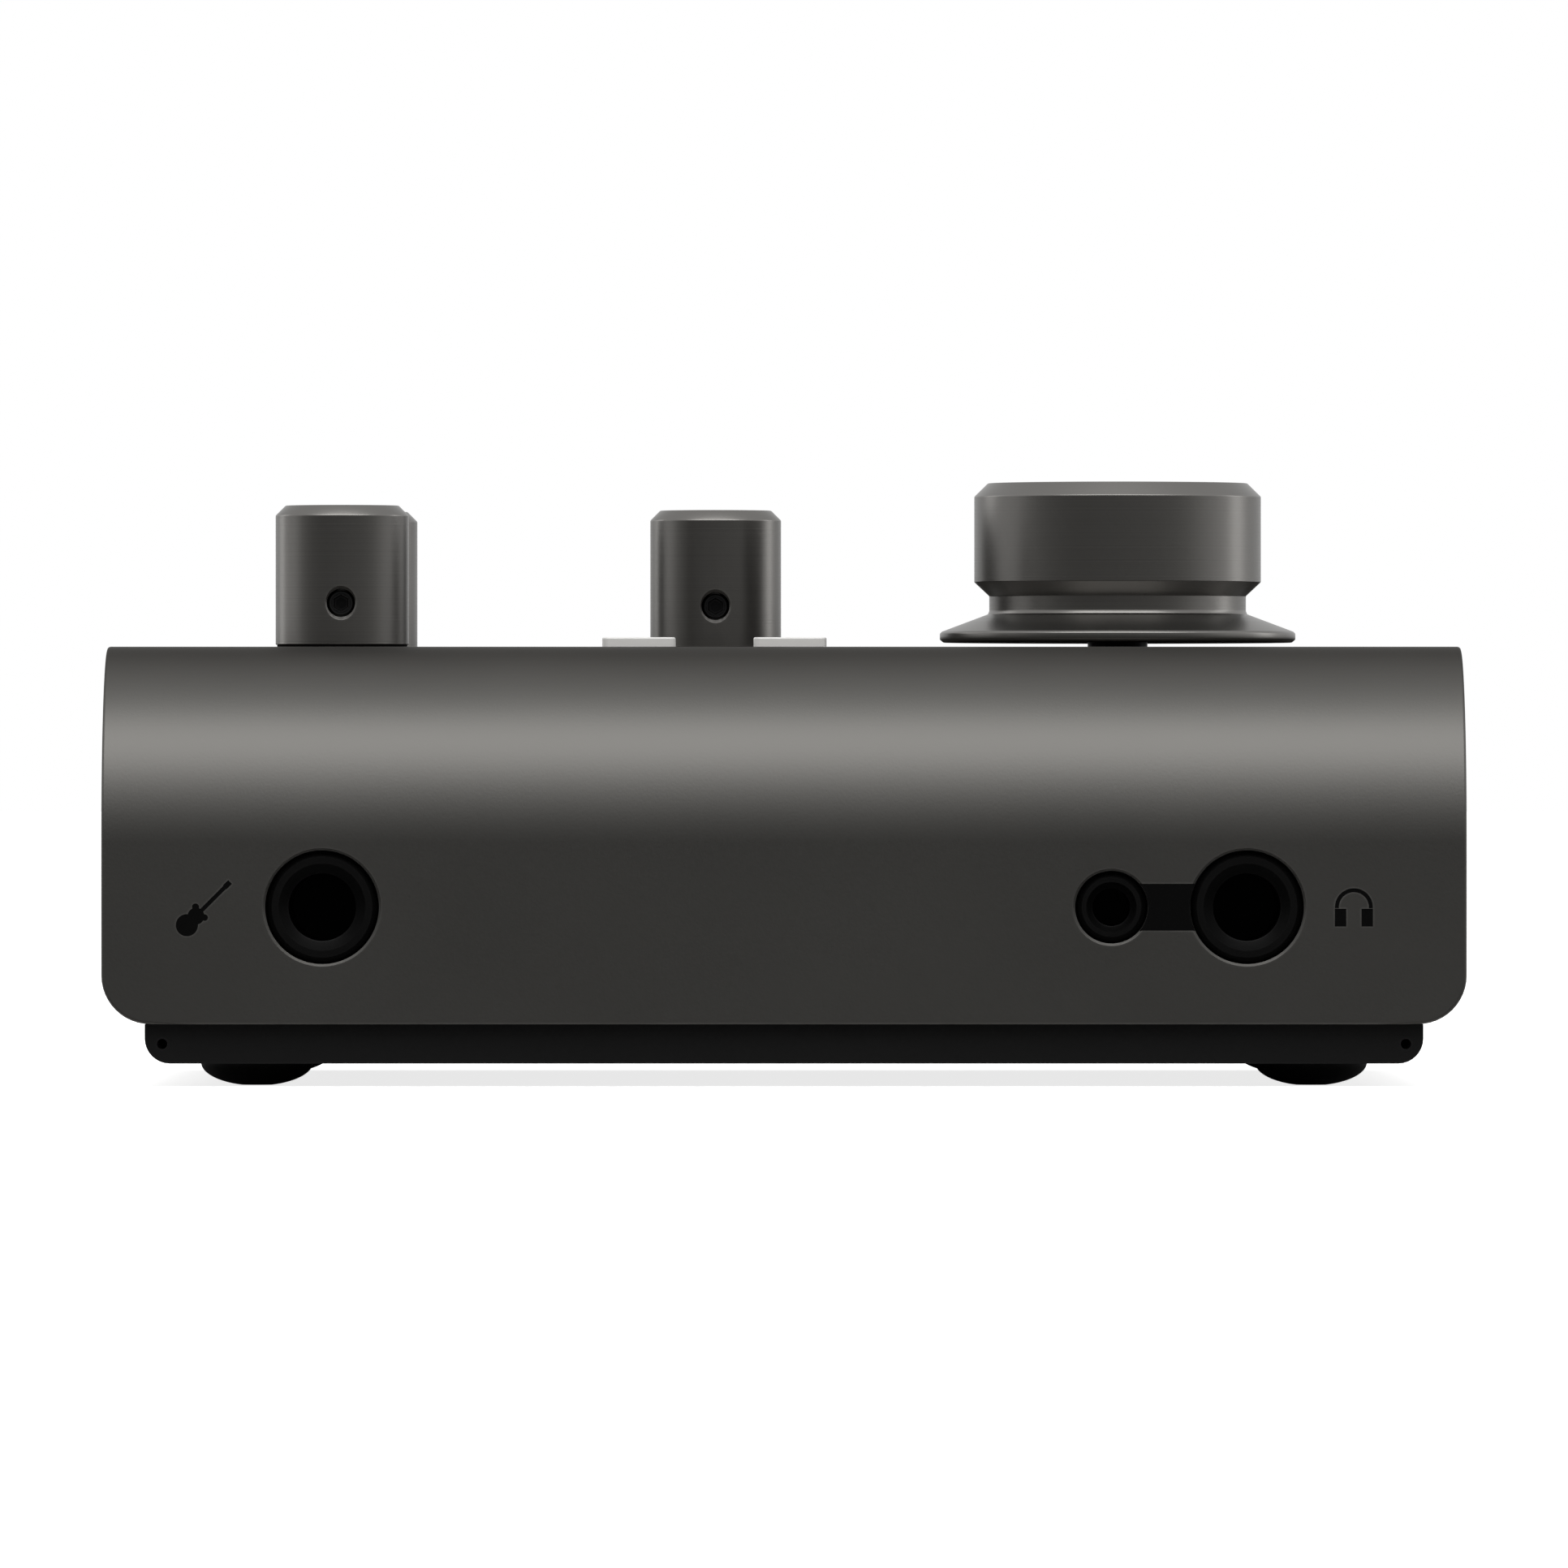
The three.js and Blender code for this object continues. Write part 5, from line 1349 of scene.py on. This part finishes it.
MASK_COLOUR = (0.0050, 0.0200, 0.0105, 1)
TRACK_COLOUR = (0.0150, 0.0520, 0.0270, 1)
TRACK_SPACING = 0.0035


def tracks_group():
    """Mask of thin lines that wander like copper tracks."""
    group, given, result = new_group("tracks", [("Spacing", "NodeSocketFloat", 0.003)],
                                     [("Tracks", "NodeSocketFloat")])
    nodes, links = group.nodes, group.links
    place = added(nodes, "TexCoord")
    scale = added(nodes, "Math", {0: 1}, operation="DIVIDE")
    cells = added(nodes, "TexVoronoi", feature="DISTANCE_TO_EDGE")
    width = added(nodes, "MapRange", {"From Min": 0.05, "From Max": 0.03})
    wired(links, (given.outputs["Spacing"], scale.inputs[1]),
          (scale.outputs[0], cells.inputs["Scale"]),
          (place.outputs["Object"], cells.inputs["Vector"]),
          (cells.outputs["Distance"], width.inputs["Value"]),
          (width.outputs[0], result.inputs["Tracks"]))
    return group


TRACKS = tracks_group()


def board_material():
    material, nodes, links, shader = principled("board_laminate")
    lines = placed_group(nodes, TRACKS, Spacing=TRACK_SPACING)
    texture = placed_group(nodes, GRAIN, Grain_Size=0.4 * mm, Cloud_Size=0.01)
    colour = mixed(nodes, links, lines.outputs["Tracks"], MASK_COLOUR, TRACK_COLOUR)
    rough = spread_value(nodes, links, texture.outputs["Cloud"], 0.3, 0.42)
    normal = bumped(nodes, links, lines.outputs["Tracks"], 0.5, 0.03 * mm)
    wired(links, (colour, shader.inputs["Base Color"]), (rough, shader.inputs["Roughness"]),
          (normal, shader.inputs["Normal"]))
    return material


def refined(node, width):
    """A copy of a CAD node with its triangles merged and its edges broken."""
    piece = copied(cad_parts[node], node + "_refined", (0, 0, 0))
    bpy.ops.object.mode_set(mode="EDIT")
    bpy.ops.mesh.select_all(action="SELECT")
    bpy.ops.mesh.remove_doubles(threshold=0.001 * mm)
    bpy.ops.mesh.dissolve_limited(angle_limit=math.radians(1))
    bpy.ops.object.mode_set(mode="OBJECT")
    eased(piece, width, segments=2, angle=40)
    smoothed(piece)
    return piece


board_finish = board_material()
for node in ("main_board", "control_board"):
    finished(refined(node, 0.08 * mm), board_finish, "chassis", "board_laminate", node)

# ---- Chips and supply parts ----
# Moulded black packages with tinned legs, an inductor with two end terminals, a can capacitor with a
# scored vent, and the header that links the two boards.

CHIP_COLOUR = (0.0085, 0.0085, 0.0090, 1)
CAN_COLOUR = (0.55, 0.545, 0.53, 1)
LEG_PITCH = 1.0 * mm
LEG_WIDTH = 0.36 * mm
LEG_REACH = 0.9 * mm
LEG_RISE = 0.55 * mm
LEG_SINK, LEG_DROP = 0.1 * mm, 0.2 * mm
DOT_RADIUS = 0.55 * mm
DOT_INSET = 1.6 * mm
VENT_HALF = 0.12 * mm

chip_finish = grained_material("chip_resin", CHIP_COLOUR, (0.02, 0.02, 0.02, 1), 0.0, (0.5, 0.6),
                               0.12 * mm, bump=0.01 * mm, wear=0.2, gloss=0.35)
can_finish = grained_material("bright_can", CAN_COLOUR, (0.75, 0.74, 0.72, 1), 1.0, (0.22, 0.34),
                              0.2 * mm, bump=0.005 * mm, wear=0.5)


for node in ("processor", "converter"):
    low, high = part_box(node)
    chip = block(node + "_package", low, high)
    eased(chip, 0.18 * mm, segments=2)
    cut(chip, turned("cutter", [[DOT_RADIUS, -0.12 * mm], [DOT_RADIUS, mm]],
                     (low.x + DOT_INSET, low.y + DOT_INSET, high.z), facets=24))
    smoothed(chip)
    finished(chip, chip_finish, "chassis", "chip_resin", node)
    legs = []
    centre = (low + high) / 2
    count = int((high.x - low.x - 1.6 * mm) / LEG_PITCH)
    for side in (-1, 1):
        for index in range(count):
            offset = (index - (count - 1) / 2) * LEG_PITCH
            for out, along in ((0, 1), (1, 0)):
                edge_place = centre[out] + side * (high[out] - low[out]) / 2
                ends = sorted((edge_place - side * LEG_SINK, edge_place + side * LEG_REACH))
                corners = [[0, 0, low.z - LEG_DROP], [0, 0, low.z + LEG_RISE]]
                for corner, end, half in zip(corners, ends, (-LEG_WIDTH / 2, LEG_WIDTH / 2)):
                    corner[out], corner[along] = end, centre[along] + offset + half
                legs.append(block("leg", *corners))
    row = joined_pieces(node + "_legs", legs)
    rounded_edges(row, 0.12 * mm, 2, lambda edge: middle(edge).z > low.z + LEG_RISE - HAIR)
    finished(row, bright_finish, "chassis", "plain_steel")

low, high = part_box("supply_capacitor")
centre = (low + high) / 2
can_radius = (high.y - low.y) / 2
can = turned("capacitor_can", [
    [can_radius * 0.9, low.z], [can_radius, low.z + 0.3 * mm], [can_radius, low.z + 1.2 * mm],
    [can_radius * 0.93, low.z + 1.6 * mm], [can_radius, low.z + 2.0 * mm], [can_radius, high.z - 0.5 * mm],
    [can_radius * 0.9, high.z], [can_radius * 0.8, high.z - 0.1 * mm],
], (centre.x, centre.y, 0), facets=64)
for half_x, half_y in ((can_radius * 0.6, VENT_HALF), (VENT_HALF, can_radius * 0.6)):
    cut(can, block("cutter", (centre.x - half_x, centre.y - half_y, high.z - 0.25 * mm),
                   (centre.x + half_x, centre.y + half_y, high.z + mm)))
smoothed(can)
finished(can, can_finish, "chassis", "satin_aluminium", "supply_capacitor")

finished(refined("supply_inductor", 0.5 * mm), chip_finish, "chassis", "chip_resin", "supply_inductor")
finished(refined("board_link", 0.25 * mm), plastic_finish, "chassis", "black_plastic", "board_link")

# ---- Control bodies ----
# What carries the knobs and caps on the control board: three sealed potentiometers, the push encoder with
# its rotor and bracket, and two tactile switches with their plungers.

BODY_COLOUR = (0.012, 0.012, 0.013, 1)

bodies_finish = grained_material("moulded_body", BODY_COLOUR, (0.03, 0.03, 0.03, 1), 0.0, (0.4, 0.5),
                                 0.3 * mm, bump=0.012 * mm, wear=0.3, gloss=0.3)
moulded = [name + "_potentiometer" for name in KNOBS]
for node in moulded + ["encoder_body", "left_switch_body", "right_switch_body"]:
    finished(refined(node, 0.25 * mm), bodies_finish, "chassis", "black_plastic", node)
finished(refined("encoder_bracket", 0.15 * mm), bright_finish, "chassis", "plain_steel", "encoder_bracket")
finished(refined("encoder_rotor", 0.2 * mm), bright_finish, "volume_rotor", "plain_steel", "encoder_rotor")
for name in BUTTONS:
    node = name + "_switch_plunger"
    finished(refined(node, 0.15 * mm), bright_finish, name + "_button", "plain_steel", node)
